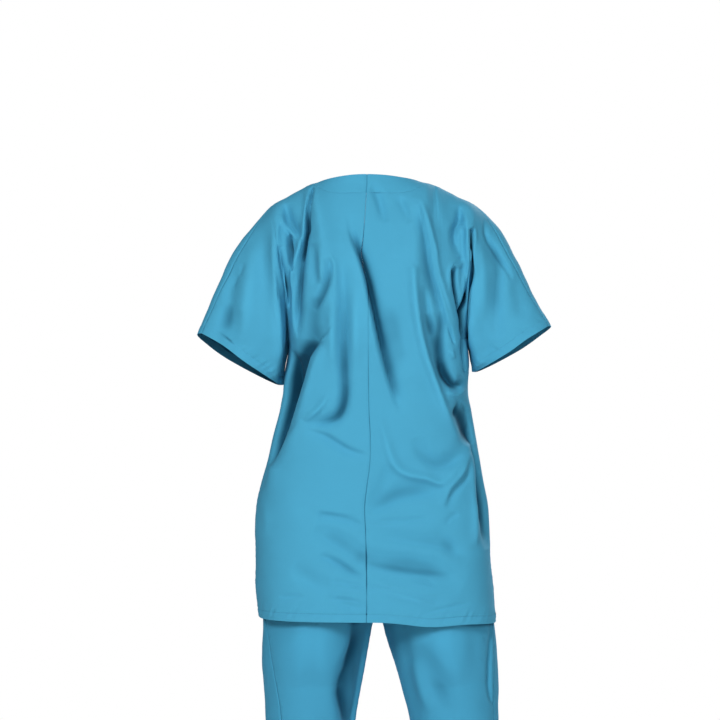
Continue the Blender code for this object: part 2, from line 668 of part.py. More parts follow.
def add_pocket(grid, side, word):
    """A patch pocket on the front, its top edge eased away from the panel."""
    middle = len(grid.us) // 2
    first, last = (middle + side * column for column in POCKET_COLUMNS)
    columns = slice(min(first, last), max(first, last) + 1)
    pocket = part_of(grid, columns, slice(POCKET_ROWS[0], POCKET_ROWS[1] + 1), GAP + WALL)
    across = np.linspace(0, np.pi, len(pocket.us))
    up = np.linspace(0, 1, len(pocket.vs))
    ease = POCKET_EASE * np.sin(across)[None, :] * up[:, None] ** 3
    add_wall(f"pocket_{word}", pocket._replace(spot=pocket.spot - pocket.into * ease[..., None]), WALL)


def add_top():
    rows = top_rows()
    for half, word in ((1, "left"), (-1, "right")):
        grid = grid_of(top_columns(half), rows, place_on_top("back", half), sleeved=True)
        add_wall(f"back_{word}", grid, WALL)
    whole_back = grid_of(top_columns(0), rows, place_on_top("back", 0), sleeved=True)
    front = grid_of(top_columns(0), rows, place_on_top("front", 0), sleeved=True)
    add_wall("front", front, WALL)
    add_neck_facing("back", whole_back)
    add_neck_facing("front", front)
    add_pocket(front, 1, "left")
    add_pocket(front, -1, "right")


# ---------------------------------------------------------------- the trousers' panels


def leg_skin(face, side, u, v):
    base = leg_form(face, side, u, v)
    inner_u = np.clip(u, 2e-3, 1 - 2e-3)
    inner_v = np.clip(v, -1, 1 - 2e-3)
    facing = side * facing_of(lambda a, b: leg_form(face, side, a, b), face, inner_u, inner_v)
    return base + fold_shift(LEG_FOLDS, base, facing), facing


def place_on_leg(face, side):
    outward = 1 if face == "back" else -1

    def place(u, v):
        spot, facing = leg_skin(face, side, u, v)
        step = 2e-3
        lower, upper = np.clip(v - step, -1, 1), np.clip(v + step, -1, 1)
        along = leg_form(face, side, u, upper) - leg_form(face, side, u, lower)
        outer_way = unit(leg_form(face, side, step + 0 * u, v) - leg_form(face, side, 0 * u, v))
        outer = np.isclose(u, 0)
        inseam = np.isclose(u, 1) & (v >= CROTCH_V - 1e-6)
        centre = np.isclose(u, 1) & (v <= CROTCH_V + 1e-6)
        into = np.zeros_like(spot)
        pull = np.zeros_like(spot)
        for where, way in ((outer, outer_way), (inseam, Y * outward), (centre, X * side)):
            way = np.broadcast_to(way, spot.shape)
            into = np.where(where[..., None], rim(along, way, facing), into)
            pull += np.where(where[..., None], way * GAP / 2, 0)
        crotch = (inseam & centre)[..., None]
        into = np.where(crotch, unit(X * side + Z), into)
        top = np.isclose(v, 0)[..., None]
        into = np.where(top & (np.abs(into).sum(axis=-1, keepdims=True) == 0), -facing, into)
        pull -= np.where(top, Z * GAP / 2, 0)
        return spot + pull, into, facing

    return place


def add_trousers():
    us = np.linspace(0, 1, LEG_COLUMNS + 1)
    rise = np.linspace(0, CROTCH_V, RISE_ROWS + 1)
    fall = np.linspace(CROTCH_V, 1, LEG_ROWS + 1)
    vs = np.concatenate([rise, fall[1:]])
    for face in ("back", "front"):
        for side, word in ((1, "left"), (-1, "right")):
            add_wall(f"trouser_{face}_{word}", grid_of(us, vs, place_on_leg(face, side)), WALL)


def place_on_band(u, v):
    """Places the waistband's grid: u runs 0 to 4 round the waist, one leg's quarter at a time."""
    spot, into, way_out = (np.zeros(u.shape + (3,)) for _ in range(3))
    quarters = (("back", 1, 0), ("back", -1, 1), ("front", -1, 2), ("front", 1, 3))
    for face, side, quarter in quarters:
        here = (u >= quarter) & (u <= quarter + 1)
        share = u[here] - quarter
        along = share if quarter in (0, 2) else 1 - share
        spot[here], facing = leg_skin(face, side, along, v[here])
        way_out[here] = facing
    bottom = np.isclose(v, 0)[..., None]
    into = np.where(bottom, -way_out, into)
    return spot + np.where(bottom, Z * GAP / 2, 0), into, way_out


def add_waistband():
    us = np.linspace(0, 4, 4 * LEG_COLUMNS + 1)
    vs = np.linspace(-1, 0, BAND_ROWS + 1)
    add_wall("waistband", grid_of(us, vs, place_on_band), WALL)


def clear_scene():
    for old in list(bpy.data.objects):
        bpy.data.objects.remove(old, do_unlink=True)


def main():
    clear_scene()
    add_top()
    add_trousers()
    add_waistband()


main()
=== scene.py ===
"""Medical scrubs in their cloth: a kimono-sleeved top and straight trousers, in worn form.

The wearer faces -Y, +Z is up and the wearer's left is +X. The origin is the middle of the
neck opening, where the shoulders carry the top. Tables are in millimetres. A panel's place
is (u, v). On the top, |u| runs 0 to 1 from the centre to the side seam and on to 2 at the
cuff, with u > 0 on the wearer's left, and v runs -1 to 0 from the hem to the underarm and
on to 1 at the neckline and the overarm seam. On a leg, u runs 0 to 1 from the outer seam to
the centre seam or inseam, and v from -1 at the waistband's top to 1 at the ankle.
"""

from collections import namedtuple
from functools import lru_cache, partial
import math

import bmesh
import bpy
import numpy as np
from bpy.props import FloatProperty, FloatVectorProperty, PointerProperty
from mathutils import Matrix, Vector


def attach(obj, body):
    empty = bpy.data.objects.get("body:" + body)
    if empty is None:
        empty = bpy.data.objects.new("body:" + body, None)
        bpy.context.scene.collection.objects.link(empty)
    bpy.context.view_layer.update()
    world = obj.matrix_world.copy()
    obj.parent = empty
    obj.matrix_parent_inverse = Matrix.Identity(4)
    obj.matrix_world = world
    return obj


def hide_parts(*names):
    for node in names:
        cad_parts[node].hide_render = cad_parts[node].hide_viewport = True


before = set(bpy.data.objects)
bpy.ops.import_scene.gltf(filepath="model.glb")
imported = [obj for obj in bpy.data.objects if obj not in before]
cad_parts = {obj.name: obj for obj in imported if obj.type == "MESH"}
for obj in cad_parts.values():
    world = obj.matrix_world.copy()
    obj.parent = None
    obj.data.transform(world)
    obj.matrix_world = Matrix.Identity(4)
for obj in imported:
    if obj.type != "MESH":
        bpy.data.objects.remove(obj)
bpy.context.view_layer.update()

bl_info = {
    "name": "Medical scrubs",
    "version": (1, 0, 0),
    "blender": (4, 5, 0),
    "location": "View3D > Sidebar > Scrubs",
    "description": "Cuts, folds and sews a scrub top and trousers",
    "category": "Object",
}

MM = 0.001
WELD = 1e-6
TINY = 1e-12
SEAM_GAP = 0.06 * MM

# Margins on a panel's places: what counts as the same place, how far apart a slope is read,
# and how far inside an edge, where the surface's halves end.
SAME, NEARLY_SAME = 1e-9, 1e-6
SLOPE_STEP, SEAM_SLOPE_STEP = 1e-3, 0.02
INSIDE = 2e-3

# Where the neck's corner, the facing's edge and end, and the crotch lie on their panels, and
# how soon below the crotch a leg is an oval.
NECK_U = 0.42
FACING_V = 5 / 6
FACING_U = 0.586
CROTCH_V = 0.26
RING_V = 0.10

X = np.array([1.0, 0.0, 0.0])
Y = np.array([0.0, 1.0, 0.0])
Z = np.array([0.0, 0.0, 1.0])

# The top's girth, from the underarm to the hem: how far it reaches to each side, where the
# centre-back seam runs, and how far the back and the front stand out.
Girth = namedtuple("Girth", "z left right centre back front")
BODY = (
    Girth(-690, 182, 195, 11, 131, -120),
    Girth(-640, 187, 192, 11, 129, -120),
    Girth(-600, 188, 188, 11, 127, -119),
    Girth(-545, 188, 186, 11, 124, -117),
    Girth(-505, 186, 183, 11, 121, -116),
    Girth(-475, 179, 177, 7, 119, -115),
    Girth(-440, 169, 171, 2, 118, -115),
    Girth(-400, 160, 164, 1, 118, -116),
    Girth(-360, 149, 157, 3, 119, -118),
    Girth(-330, 141, 151, 4, 121, -121),
    Girth(-300, 137.5, 150, 5, 123, -123),
    Girth(-240, 133, 149, 7, 124, -123),
)

# The handles of a body ring's curve: its side's share of the width and of the depth. The
# front's rings start this far to the left of the middle.
RING_WIDTH, RING_DEPTH = 0.72, 0.74
FRONT_MIDDLE = 4.0

# The shoulder and overarm seam: turn is how far round the arm its back edge faces, in
# degrees.
Seam = namedtuple("Seam", "u x y z turn")
SHOULDER_LEFT = (
    Seam(NECK_U, 100, -22, -3, -20),
    Seam(0.70, 134, -12, -18, -10),
    Seam(1.00, 167, 4, -37, 8),
    Seam(1.32, 207, 25, -98, 40),
    Seam(1.65, 239, 31, -160, 40),
    Seam(2.00, 273, 30, -236, 38),
)
SHOULDER_RIGHT = (
    Seam(NECK_U, 92, -22, -3, -20),
    Seam(0.70, 130, -12, -17, -10),
    Seam(1.00, 170, 3, -38, 14),
    Seam(1.18, 196, 15, -76, 42),
    Seam(1.34, 215, 23, -112, 42),
    Seam(1.65, 244, 28, -166, 38),
    Seam(2.00, 277, 30, -225, 34),
)
UNDERARM = {1: (134, 0, -255), -1: (149, 0, -245)}
CUFF_CORNER = {1: (143, 0, -318), -1: (158, 0, -297)}
CENTRE_UNDERARM_Z = -250
HEM_Z = {1: -686, 0: -685, -1: -695}
HEM_VENT = 78 * MM
VENT_SPREAD = 4 * MM
SLEEVE_CLEAR = 6 * MM

# The neckline: its lowest point at the centre and the two handles of its curve.
# lean is the cloth's direction there.
Neckline = namedtuple("Neckline", "centre handle tail lean")
NECK = {
    "back": Neckline((10, 57, 15), (58, 57, 15), (0, 48, 6), (0.0, -0.42, 0.91)),
    "front": Neckline(
        (4, -110, -152), (30, -104, -104), (-10, -46, -26), (0.0, 0.12, 0.99)
    ),
}
CUFF_DROOP = 0.20
# The facing's depth at the centre, half way along and at the neck's corner.
FACING_DROP = {"back": (32, 32, 32), "front": (46, 50, 32)}
# A column is this much longer than the straight line between its ends.
COLUMN_CURVE = 1.06
# How a column leaves the crevice beside the body and the seam under the sleeve.
CREVICE_OUT, CREVICE_UP = 0.68, 0.73
SLEEVE_UP = {"back": 0.0, "front": -0.12}

# How far each column's curve follows its ends' directions, as a share of its length.
Reach = namedtuple("Reach", "u back front")
REACH = (
    Reach(0.00, 0.36, 0.34),
    Reach(NECK_U, 0.37, 0.34),
    Reach(0.80, 0.40, 0.38),
    Reach(1.00, 0.46, 0.42),
    Reach(1.35, 0.45, 0.48),
    Reach(2.00, 0.43, 0.52),
)

# One leg's girth, down from the waistband. turn is how far the outer seam is turned to the
# back, in degrees, and seam_x and seam_y are where it lies above the crotch.
Leg = namedtuple("Leg", "z outer inner seam_x seam_y back front turn")
LEG_LEFT = (
    Leg(-410, 128, -3, 128, 0, 94, -92, 0),
    Leg(-445, 130, -3, 130, 0, 96, -94, 0),
    Leg(-520, 154, -4, 154, 2, 106, -100, 0),
    Leg(-600, 172, -6, 171, 8, 112, -104, 6),
    Leg(-655, 177, -8, 174, 20, 108, -103, 14),
    Leg(-710, 177, 3, 168, 38, 98, -98, 28),
    Leg(-774, 177, 14, 154, 60, 90, -92, 42),
    Leg(-840, 174, 26, 140, 70, 84, -88, 52),
    Leg(-950, 174, 36, 140, 60, 74, -80, 45),
    Leg(-1150, 188, 52, 184, 26, 64, -72, 18),
    Leg(-1390, 205, 73, 204, 8, 62, -68, 5),
)
LEG_RIGHT = (
    Leg(-410, 134, 3, 134, 0, 94, -92, 0),
    Leg(-445, 136, 3, 136, 0, 96, -94, 0),
    Leg(-520, 162, 4, 162, 2, 106, -100, 0),
    Leg(-600, 182, 6, 182, 8, 112, -104, 5),
    Leg(-655, 190, 8, 188, 18, 108, -103, 10),
    Leg(-710, 195, 18, 190, 26, 98, -98, 17),
    Leg(-774, 199, 38, 192, 34, 90, -92, 24),
    Leg(-840, 200, 56, 191, 38, 84, -88, 29),
    Leg(-950, 204, 68, 198, 30, 74, -80, 22),
    Leg(-1150, 226, 90, 222, 18, 64, -72, 12),
    Leg(-1390, 246, 114, 246, 8, 62, -68, 4),
)
WAIST_TOP_Z, WAIST_Z, CROTCH_Z, ANKLE_Z = -410, -445, -655, -1390
# How far below the crotch its row of the grid meets the outer seam.
OUTER_DROP = 15
# The centre seam of the seat and the front: its bulge (y, z), and its x down to the crotch.
RISE_BULGE = {"back": (112, -560), "front": (-104, -560)}
RISE_TAIL = 0.62
WAIST_X, BULGE_X, CROTCH_X = -3, -4, -8

# A fold lies along a smooth line through its points (x, z). depth is out of the cloth (in
# where negative). Going down a fold, left is its width towards +X and right towards -X.
# start and end are its strength at its two ends, and pinch turns its soft bottom sharp.
Fold = namedtuple("Fold", "path depth left right start end pinch", defaults=(0, 0, 0))
# How square to the body a fold moves the cloth, the steps of its line from point to point,
# the power of its fade to its ends, and how many widths away it still counts.
FOLD_SQUARE = 0.6
FOLD_STEPS = 5
FOLD_FADE = 2.5
FOLD_WIDTHS = 2.6
# How far a curved line may pass the box of its points, as a share of the box.
FOLD_OVERSHOOT = 0.1
# Where the cloth turns away from a fold's side, it fades between these two facings.
FOLD_FACING = (0.02, 0.30)
PINCH_SPREAD = 1.3
TOP_FOLDS = {
    "back": (
        # Left arm: the groove down from the shoulder, its rounded ridge, and what meets
        # the armpit.
        Fold(((97, -8), (100, -20), (103, -38), (104, -56), (104, -75), (107, -90),
              (110, -106), (113, -122)), -22, 2.3, 3.2, 0.5, 0.2, 0.3),
        Fold(((108, -92), (111, -110), (114, -128), (118, -152), (120, -176),
              (121, -205), (121, -232)), -15, 2.8, 8, 0, 0.2, 0.2),
        Fold(((102, -25), (106, -50), (113, -92), (123, -128), (128, -150), (128, -171),
              (125, -215), (126, -250)), 8, 6, 3.5, 0.5),
        Fold(((131, -84), (130, -98), (128, -112), (127, -128), (126, -140)),
             -20, 2.6, 2.2, 0.5, 0, 0.3),
        Fold(((147, -47), (141, -64), (127, -79), (114, -93)), 4, 4, 5, 0, 0.4),
        Fold(((139, -30), (134, -54), (121, -78), (111, -91)), -9, 5, 9, 0, 0.4),
        Fold(((148, -98), (145, -122), (142, -136), (138, -150), (134, -167),
              (133, -190)), -17, 3.5, 4, 0, 0.4, 0.2),
        Fold(((132, -262), (131, -284), (134, -311), (137, -340)),
             -12, 4, 5, 0.2, 0.7, 0.2),
        Fold(((150, -60), (153, -100), (147, -140), (142, -190)), 5, 9, 4),
        Fold(((139, -74), (138, -100), (134, -140)), 3, 4, 4, 0.3),
        Fold(((216, -126), (223, -162), (229, -204), (235, -232)), -8, 12, 10),
        Fold(((192, -92), (196, -147), (202, -209), (206, -255)), 6, 12, 14),
        Fold(((172, -70), (172, -130), (170, -200)), -4, 10, 14),
        Fold(((151, -185), (148, -240), (146, -285), (148, -330)), 9, 16, 5, 0.4, 0.7),
        Fold(((226, -190), (236, -225), (244, -250)), -7, 20, 24, 0, 0.8),
        Fold(((205, -125), (213, -147)), -2.5, 3, 4),
        Fold(((215, -142), (223, -165)), -2.5, 3, 4),
        # Left of the centre: dimple, hollow and wedge, the long diagonal and the flutes
        # beside it.
        Fold(((67, -128), (69, -148), (75, -166), (84, -184), (94, -200)),
             -11, 9, 4.5, 0.5),
        Fold(((74, -124), (67, -121), (61, -134), (60, -175)), 2.5, 4, 5, 0.2),
        Fold(((94, -96), (94, -130), (90, -164)), -7, 8, 8),
        Fold(((84, -100), (83, -140), (81, -160)), 4, 6, 6),
        Fold(((96, -178), (96, -212), (100, -246)), -11, 20, 18, 0.3, 0.2),
        Fold(((86, -250), (103, -267), (115, -289), (124, -318), (132, -346),
              (144, -390)), -29, 20, 6, 0.4, 0, 0.2),
        Fold(((112, -270), (126, -306), (140, -350), (152, -400), (160, -450)),
             -20, 17, 16, 0.1),
        Fold(((80, -258), (94, -286), (106, -326), (122, -380)), 6, 5, 12),
        Fold(((49, -118), (47, -180), (46, -247), (45, -300), (44, -333), (50, -359),
              (66, -373), (106, -381)), -13, 9, 8),
        Fold(((28, -160), (28, -225), (27, -300)), 5, 9, 9),
        Fold(((64, -180), (65, -235), (63, -300)), 5, 8, 8),
        Fold(((41, -315), (45, -348), (62, -371), (108, -381)), -4, 9, 3, 0, 0.1),
        Fold(((71, -336), (86, -356), (107, -373)), 5, 6, 4, 0.3),
        Fold(((39, -50), (33, -85), (24, -107), (17, -124), (9, -154), (3, -184),
              (-4, -219), (-12, -258), (-23, -301), (-34, -335), (-42, -362)),
             -12, 4, 14, 0, 0, 0.2),
        Fold(((35, -75), (23, -108), (9, -154), (2, -188), (-5, -222), (-15, -265)),
             -11, 3, 5, 0, 0, 0.2),
        Fold(((45, -70), (32, -108), (18, -150), (8, -200), (-1, -245), (-13, -300)),
             6, 22, 4.5),
        Fold(((-3, -212), (-13, -262), (-25, -308), (-36, -345)), -5, 4, 14, 0, 0.2),
        Fold(((-26, -190), (-36, -240), (-52, -305)), -8, 17, 16, 0.4),
        Fold(((-1, -8), (-8, -25), (-14, -46), (-18, -64)), -7, 6, 7, 0.4),
        Fold(((-39, -22), (-48, -40), (-57, -64)), -5, 6, 6, 0.2),
        Fold(((-22, -40), (-30, -80), (-36, -120)), 3, 12, 12),
        Fold(((108, -389), (78, -396), (55, -409), (33, -421), (7, -427)), -7, 10, 5),
        Fold(((111, -372), (128, -393), (145, -417), (162, -455), (173, -486)),
             6, 5, 14),
        Fold(((141, -333), (147, -372), (157, -410), (167, -446)), -13, 12, 8, 0.5),
        Fold(((164, -437), (171, -465), (176, -483)), -3, 5, 5),
        Fold(((173, -496), (169, -521), (168, -536), (174, -562)), 2, 7, 6),
        Fold(((88, -518), (67, -520), (44, -525), (16, -538)), -6, 10, 6, 0, 0.3),
        Fold(((83, -580), (58, -592), (36, -607), (15, -621)), -6, 13, 9, 0, 0.5),
        Fold(((140, -470), (112, -540), (100, -610)), 3, 26, 24),
        Fold(((92, -540), (62, -556), (36, -572), (10, -590)), -8, 13, 16, 0, 0.3),
        Fold(((128, -600), (96, -622), (60, -636)), -5, 12, 14),
        Fold(((96, -508), (70, -514), (40, -520)), 2.5, 7, 5),
        Fold(((148, -649), (129, -646), (108, -644)), -2, 3, 3),
        Fold(((58, -654), (36, -660), (15, -663)), -4.5, 8, 6, 0, 0.3),
        Fold(((86, -580), (52, -595), (21, -615)), -3, 4, 4, 0, 0.3),
        Fold(((66, -620), (40, -626), (14, -630)), -3, 4, 5, 0, 0.3),
        Fold(((71, -649), (45, -650), (16, -655)), -2.5, 3.5, 4, 0, 0.2),
        # Right of the centre: the long ridge to the armpit, the sleeve creases and the
        # hollow.
        Fold(((-70, -34), (-75, -55), (-82, -85), (-88, -123), (-97, -162),
              (-108, -201), (-119, -238)), -11, 13, 3, 0.1, 0.2),
        Fold(((-58, -22), (-73, -31), (-82, -50), (-88, -70), (-93, -94), (-103, -141),
              (-115, -180), (-126, -219)), 4, 3, 5, 0, 0.1),
        Fold(((-104, -6), (-106, -36), (-110, -76)), 4.5, 7, 10, 0.6),
        Fold(((-135, -33), (-137, -55), (-131, -72), (-129, -85), (-135, -115)),
             -10, 8, 4),
        Fold(((-147, -44), (-148, -80), (-146, -126)), 5, 6, 4),
        Fold(((-155, -74), (-156, -120), (-153, -148), (-147, -171), (-141, -201),
              (-140, -227), (-142, -241), (-142, -266), (-146, -294)),
             -22, 2.8, 3.6, 0.95, 0.4, 0.4),
        Fold(((-151, -100), (-150, -78), (-155, -70), (-161, -77), (-162, -96)),
             3, 3, 3),
        Fold(((-126, -137), (-128, -161), (-131, -178), (-134, -196), (-138, -214),
              (-140, -236)), -21, 2.6, 4.2, 0.85, 0.3, 0.3),
        Fold(((-121, -178), (-120, -142), (-126, -130), (-136, -130), (-146, -118)),
             4, 3.5, 3.5),
        Fold(((-143, -139), (-142, -170), (-140, -193)), 4, 4, 4),
        Fold(((-63, -138), (-65, -180), (-71, -223), (-81, -266), (-96, -309),
              (-113, -357), (-139, -401)), 11, 8, 6, 0.5),
        Fold(((-88, -205), (-98, -250), (-108, -290), (-124, -328)), -13, 15, 16),
        Fold(((-80, -160), (-85, -205), (-94, -241)), -8, 6, 6),
        Fold(((-103, -204), (-109, -223), (-107, -258), (-112, -297)), -6, 7, 6),
        Fold(((-118, -223), (-127, -254)), -7, 2, 2.5, 0.2, 0.2, 0.2),
        Fold(((-122, -262), (-127, -277)), 4, 3, 3),
        Fold(((-106, -284), (-118, -307), (-132, -319), (-147, -305)),
             -17, 7, 7, 0.2, 0.2),
        Fold(((-116, -328), (-132, -334), (-147, -324)), 5, 4, 4),
        Fold(((-134, -348), (-146, -374), (-158, -412)), -23, 15, 16, 0.3),
        Fold(((-141, -342), (-153, -359)), -3, 1.8, 1.8),
        Fold(((-181, -81), (-193, -109), (-200, -133), (-197, -167), (-195, -201),
              (-195, -247)), -9, 10, 10),
        Fold(((-175, -55), (-179, -81), (-193, -103), (-209, -129), (-220, -154)),
             -6, 3.5, 4),
        Fold(((-167, -77), (-173, -139), (-172, -216)), 5, 9, 9),
        Fold(((-224, -140), (-231, -180), (-236, -214)), -4, 12, 12, 0, 0.2),
        Fold(((-161, -130), (-156, -190), (-155, -240), (-160, -300)),
             9, 5, 16, 0, 0.7),
        Fold(((-62, -400), (-80, -430), (-104, -441), (-130, -432), (-148, -414)),
             -8, 8, 14, 0, 0.2),
        Fold(((-138, -341), (-133, -353), (-127, -368)), -8, 4, 5, 0.2),
        Fold(((-150, -424), (-140, -454), (-119, -479), (-108, -508)), 6, 9, 4),
        Fold(((-153, -431), (-144, -462), (-125, -486), (-114, -511)), -4, 4, 7),
        Fold(((-134, -519), (-122, -524), (-112, -534)), -2.5, 5, 3),
        Fold(((-8, -350), (-16, -390), (-25, -424), (-36, -446), (-54, -457),
              (-82, -463), (-106, -470), (-126, -452), (-146, -420)), 7, 6, 8),
        Fold(((11, -514), (-12, -500), (-38, -488), (-78, -482), (-108, -486)),
             -9, 12, 15, 0.1),
        Fold(((6, -498), (-16, -470), (-26, -440)), -4, 8, 8),
        Fold(((8, -527), (-40, -529), (-92, -524)), -2.5, 4, 5),
        Fold(((4, -548), (-50, -556), (-110, -566), (-150, -590)), -6.5, 10, 13, 0.2),
        Fold(((14, -588), (-34, -594), (-84, -602), (-140, -630)), -9, 20, 18, 0.6),
        Fold(((0, -624), (-44, -640), (-96, -654)), 5, 10, 10),
        Fold(((6, -595), (-58, -607), (-128, -614)), -3, 4, 5, 0.3),
        Fold(((6, -629), (-49, -640), (-109, -657)), -3, 4, 5, 0.4),
        Fold(((-58, -619), (-80, -622), (-100, -630)), -2.5, 3.5, 4),
        Fold(((-100, -540), (-118, -566), (-128, -590)), -2.5, 9, 9),
        Fold(((-79, -671), (-117, -663), (-153, -657)), -2, 3, 3),
        Fold(((-158, -421), (-162, -449), (-162, -496), (-162, -542), (-161, -572)),
             6, 8, 2.5, 0.2),
        Fold(((-158, -390), (-166, -440), (-171, -490), (-176, -540), (-180, -578)),
             -22, 7, 16, 0.3),
    ),
    "front": (
        # Drag from the bust and the armpits, and soft waves to the hem.
        Fold(((152, -66), (143, -150), (138, -228)), -11, 8, 13, 0.3, 0, 0.3),
        Fold(((-158, -66), (-154, -150), (-149, -222)), -12, 10.5, 8, 0.3, 0, 0.3),
        Fold(((126, -88), (118, -150), (106, -232), (88, -318)), -11, 11.5, 18, 0.3),
        Fold(((-130, -92), (-117, -165), (-108, -240), (-96, -330)),
             -11, 17, 11.5, 0.3),
        Fold(((134, -60), (132, -130), (126, -205)), 4.5, 10.5, 6.5),
        Fold(((-142, -60), (-138, -140), (-132, -214)), 4.5, 6.5, 10.5),
        Fold(((98, -168), (76, -214), (42, -248)), -5.5, 15.5, 9),
        Fold(((-96, -172), (-70, -222), (-34, -252)), -5.5, 9, 15.5),
        Fold(((62, -240), (76, -330), (74, -430), (66, -560)), 7.5, 23.5, 18, 0, 0.2),
        Fold(((-54, -250), (-68, -340), (-76, -440), (-78, -620)),
             7.5, 18, 23.5, 0, 0.2),
        Fold(((30, -280), (40, -380), (34, -500), (38, -640)), -6.5, 15.5, 21, 0, 0.2),
        Fold(((8, -230), (0, -360), (-8, -500), (-4, -690)), -5.5, 26, 21, 0, 0.6),
        Fold(((-30, -300), (-42, -400), (-36, -520)), -5.5, 18, 13),
        Fold(((137, -335), (118, -386), (86, -424), (42, -446)), -9, 6.5, 17, 0.3),
        Fold(((-146, -345), (-122, -398), (-86, -438), (-36, -462)), -9, 17, 6.5, 0.3),
        Fold(((144, -386), (132, -430), (104, -470), (70, -492)), -6.5, 6.5, 14.5, 0.2),
        Fold(((-152, -392), (-138, -440), (-110, -484)), -6.5, 14.5, 6.5, 0.2),
        Fold(((210, -96), (214, -170), (203, -245)), -9, 14.5, 11.5, 0, 0.1),
        Fold(((-190, -105), (-200, -180), (-195, -255)), -9, 11.5, 14.5, 0, 0.1),
        Fold(((182, -88), (184, -160), (176, -240)), 4.5, 13, 13),
        Fold(((-222, -130), (-228, -180), (-232, -230)), -4.5, 11.5, 11.5),
        Fold(((120, -560), (126, -630), (124, -690)), -6.5, 23.5, 23.5, 0, 1),
        Fold(((-112, -550), (-122, -630), (-120, -690)), -6.5, 23.5, 23.5, 0, 1),
    ),
}
LEG_FOLDS = {
    "back": (
        Fold(((26, -690), (29, -730), (38, -762), (50, -790), (45, -826), (36, -880)),
             -17, 9, 50, 0.7, 0.3),
        Fold(((95, -640), (97, -700), (96, -790)), 10, 45, 45),
        Fold(((-105, -640), (-112, -700), (-118, -790)), 11, 45, 45),
        Fold(((-187, -690), (-185, -728), (-183, -775), (-184, -806), (-191, -828)),
             -8, 3, 2.5, 0.5, 0, 0.2),
        Fold(((19, -713), (33, -736), (47, -756), (61, -784)), -6, 9, 12, 0.3),
        Fold(((58, -795), (50, -814), (41, -840), (30, -884)), -6, 9, 12),
        Fold(((95, -691), (98, -744), (95, -822)), -3, 16, 12, 0.3),
        Fold(((-42, -700), (-52, -740), (-60, -790), (-72, -853)), -6, 12, 9, 0.3),
        Fold(((-60, -748), (-72, -788), (-90, -834)), 6, 9, 10),
        Fold(((-76, -720), (-90, -760), (-106, -800), (-124, -845)), -9, 22, 18),
        Fold(((-150, -697), (-156, -744), (-158, -791)), -2.5, 14, 12, 0.3),
        Fold(((-172, -713), (-182, -721)), -1.5, 2.5, 2.5, 0, 0.5),
        Fold(((-170, -746), (-181, -755)), -1.5, 2.5, 2.5, 0, 0.5),
        Fold(((-169, -780), (-180, -786)), -1.5, 2.5, 2.5, 0, 0.5),
        Fold(((-167, -814), (-179, -820)), -1.5, 2.5, 2.5, 0, 0.5),
        Fold(((38, -862), (70, -905), (102, -952), (138, -984)), -11, 7, 12),
        Fold(((-84, -876), (-112, -922), (-146, -968), (-180, -990)), -11, 12, 7),
        Fold(((60, -960), (92, -1002), (128, -1022)), -8, 7, 11),
        Fold(((-104, -982), (-136, -1024), (-176, -1040)), -8, 11, 7),
        Fold(((110, -1080), (124, -1180), (136, -1290), (142, -1390)),
             -9.5, 14, 18, 0, 1),
        Fold(((-150, -1090), (-164, -1190), (-176, -1290), (-182, -1390)),
             -9.5, 18, 14, 0, 1),
        Fold(((76, -1240), (104, -1276), (140, -1290)), -5, 8, 12),
        Fold(((-128, -1220), (-160, -1262), (-202, -1276)), -5, 12, 8),
    ),
    "front": (
        Fold(((14, -676), (44, -716), (88, -738), (128, -742)), -5.5, 10, 16, 0.3),
        Fold(((-24, -676), (-58, -716), (-104, -738), (-150, -744)), -5.5, 16, 10, 0.3),
        Fold(((100, -620), (98, -760), (104, -900), (124, -1150), (136, -1390)),
             5, 17.5, 17.5, 0, 1),
        Fold(((-112, -620), (-120, -760), (-132, -900), (-160, -1150), (-178, -1390)),
             5, 17.5, 17.5, 0, 1),
        Fold(((52, -900), (84, -944), (120, -958), (158, -946)), -5.5, 10, 16),
        Fold(((-84, -920), (-116, -964), (-152, -978), (-190, -964)), -5.5, 16, 10),
        Fold(((66, -1016), (100, -1044), (148, -1040)), -4, 10, 14.5),
        Fold(((-106, -1030), (-140, -1058), (-196, -1052)), -4, 14.5, 10),
        Fold(((80, -1300), (116, -1330), (170, -1326)), -4, 11.5, 17.5),
        Fold(((-130, -1290), (-166, -1322), (-222, -1318)), -4, 17.5, 11.5),
    ),
}

# The cloth's soft waves: their lengths in millimetres, wide and then fine, their seeds and
# the share of the fine ones. The top's are squeezed along each axis, so that they lean.
Waves = namedtuple("Waves", "wide wide_seed fine fine_seed")
TOP_WAVES = Waves((70, 95, 140), 7, (24, 33), 8)
LEG_WAVES = Waves((80, 110, 160), 17, (26, 38), 18)
FINE_SHARE = 0.25
WAVES_LEAN = np.array([0.6, 0.6, 1.3])
# The ripples below the waistband, which run down the leg.
WAIST_RIPPLES, WAIST_RIPPLES_SEED = (15, 21), 19
WAIST_RIPPLE_HEIGHT = 1.4 * MM
WAIST_RIPPLES_LEAN = np.array([1, 0.6, 0.05])
# Where the folds die away round the underarm, so that the panels meet there.
UNDERARM_CALM_U = 0.92
UNDERARM_CALM_V = 0.12

# How far the back's cloth slides sideways round the centre seam, at each z, towards +X.
Slide = namedtuple("Slide", "z x")
SEAM_SLIDE = (
    Slide(0, 0),
    Slide(-45, 3),
    Slide(-85, 6.5),
    Slide(-111, 9.5),
    Slide(-124, 8),
    Slide(-150, 2),
    Slide(-193, -1),
    Slide(-236, 1),
    Slide(-322, 3.5),
    Slide(-400, 4),
    Slide(-496, 3),
    Slide(-600, 0),
    Slide(-700, 0),
)
SLIDE_WIDTH = 40 * MM
# How widely the crease below the neck's corner is eased, and how far a sleeve is pressed in
# beside the body: at this v, over this spread, and with this share of it sideways.
EASE_U = 0.09
SLEEVE_PRESS, PRESS_V, PRESS_SPREAD, PRESS_ASIDE = 5 * MM, 0.2, 0.13, 0.8
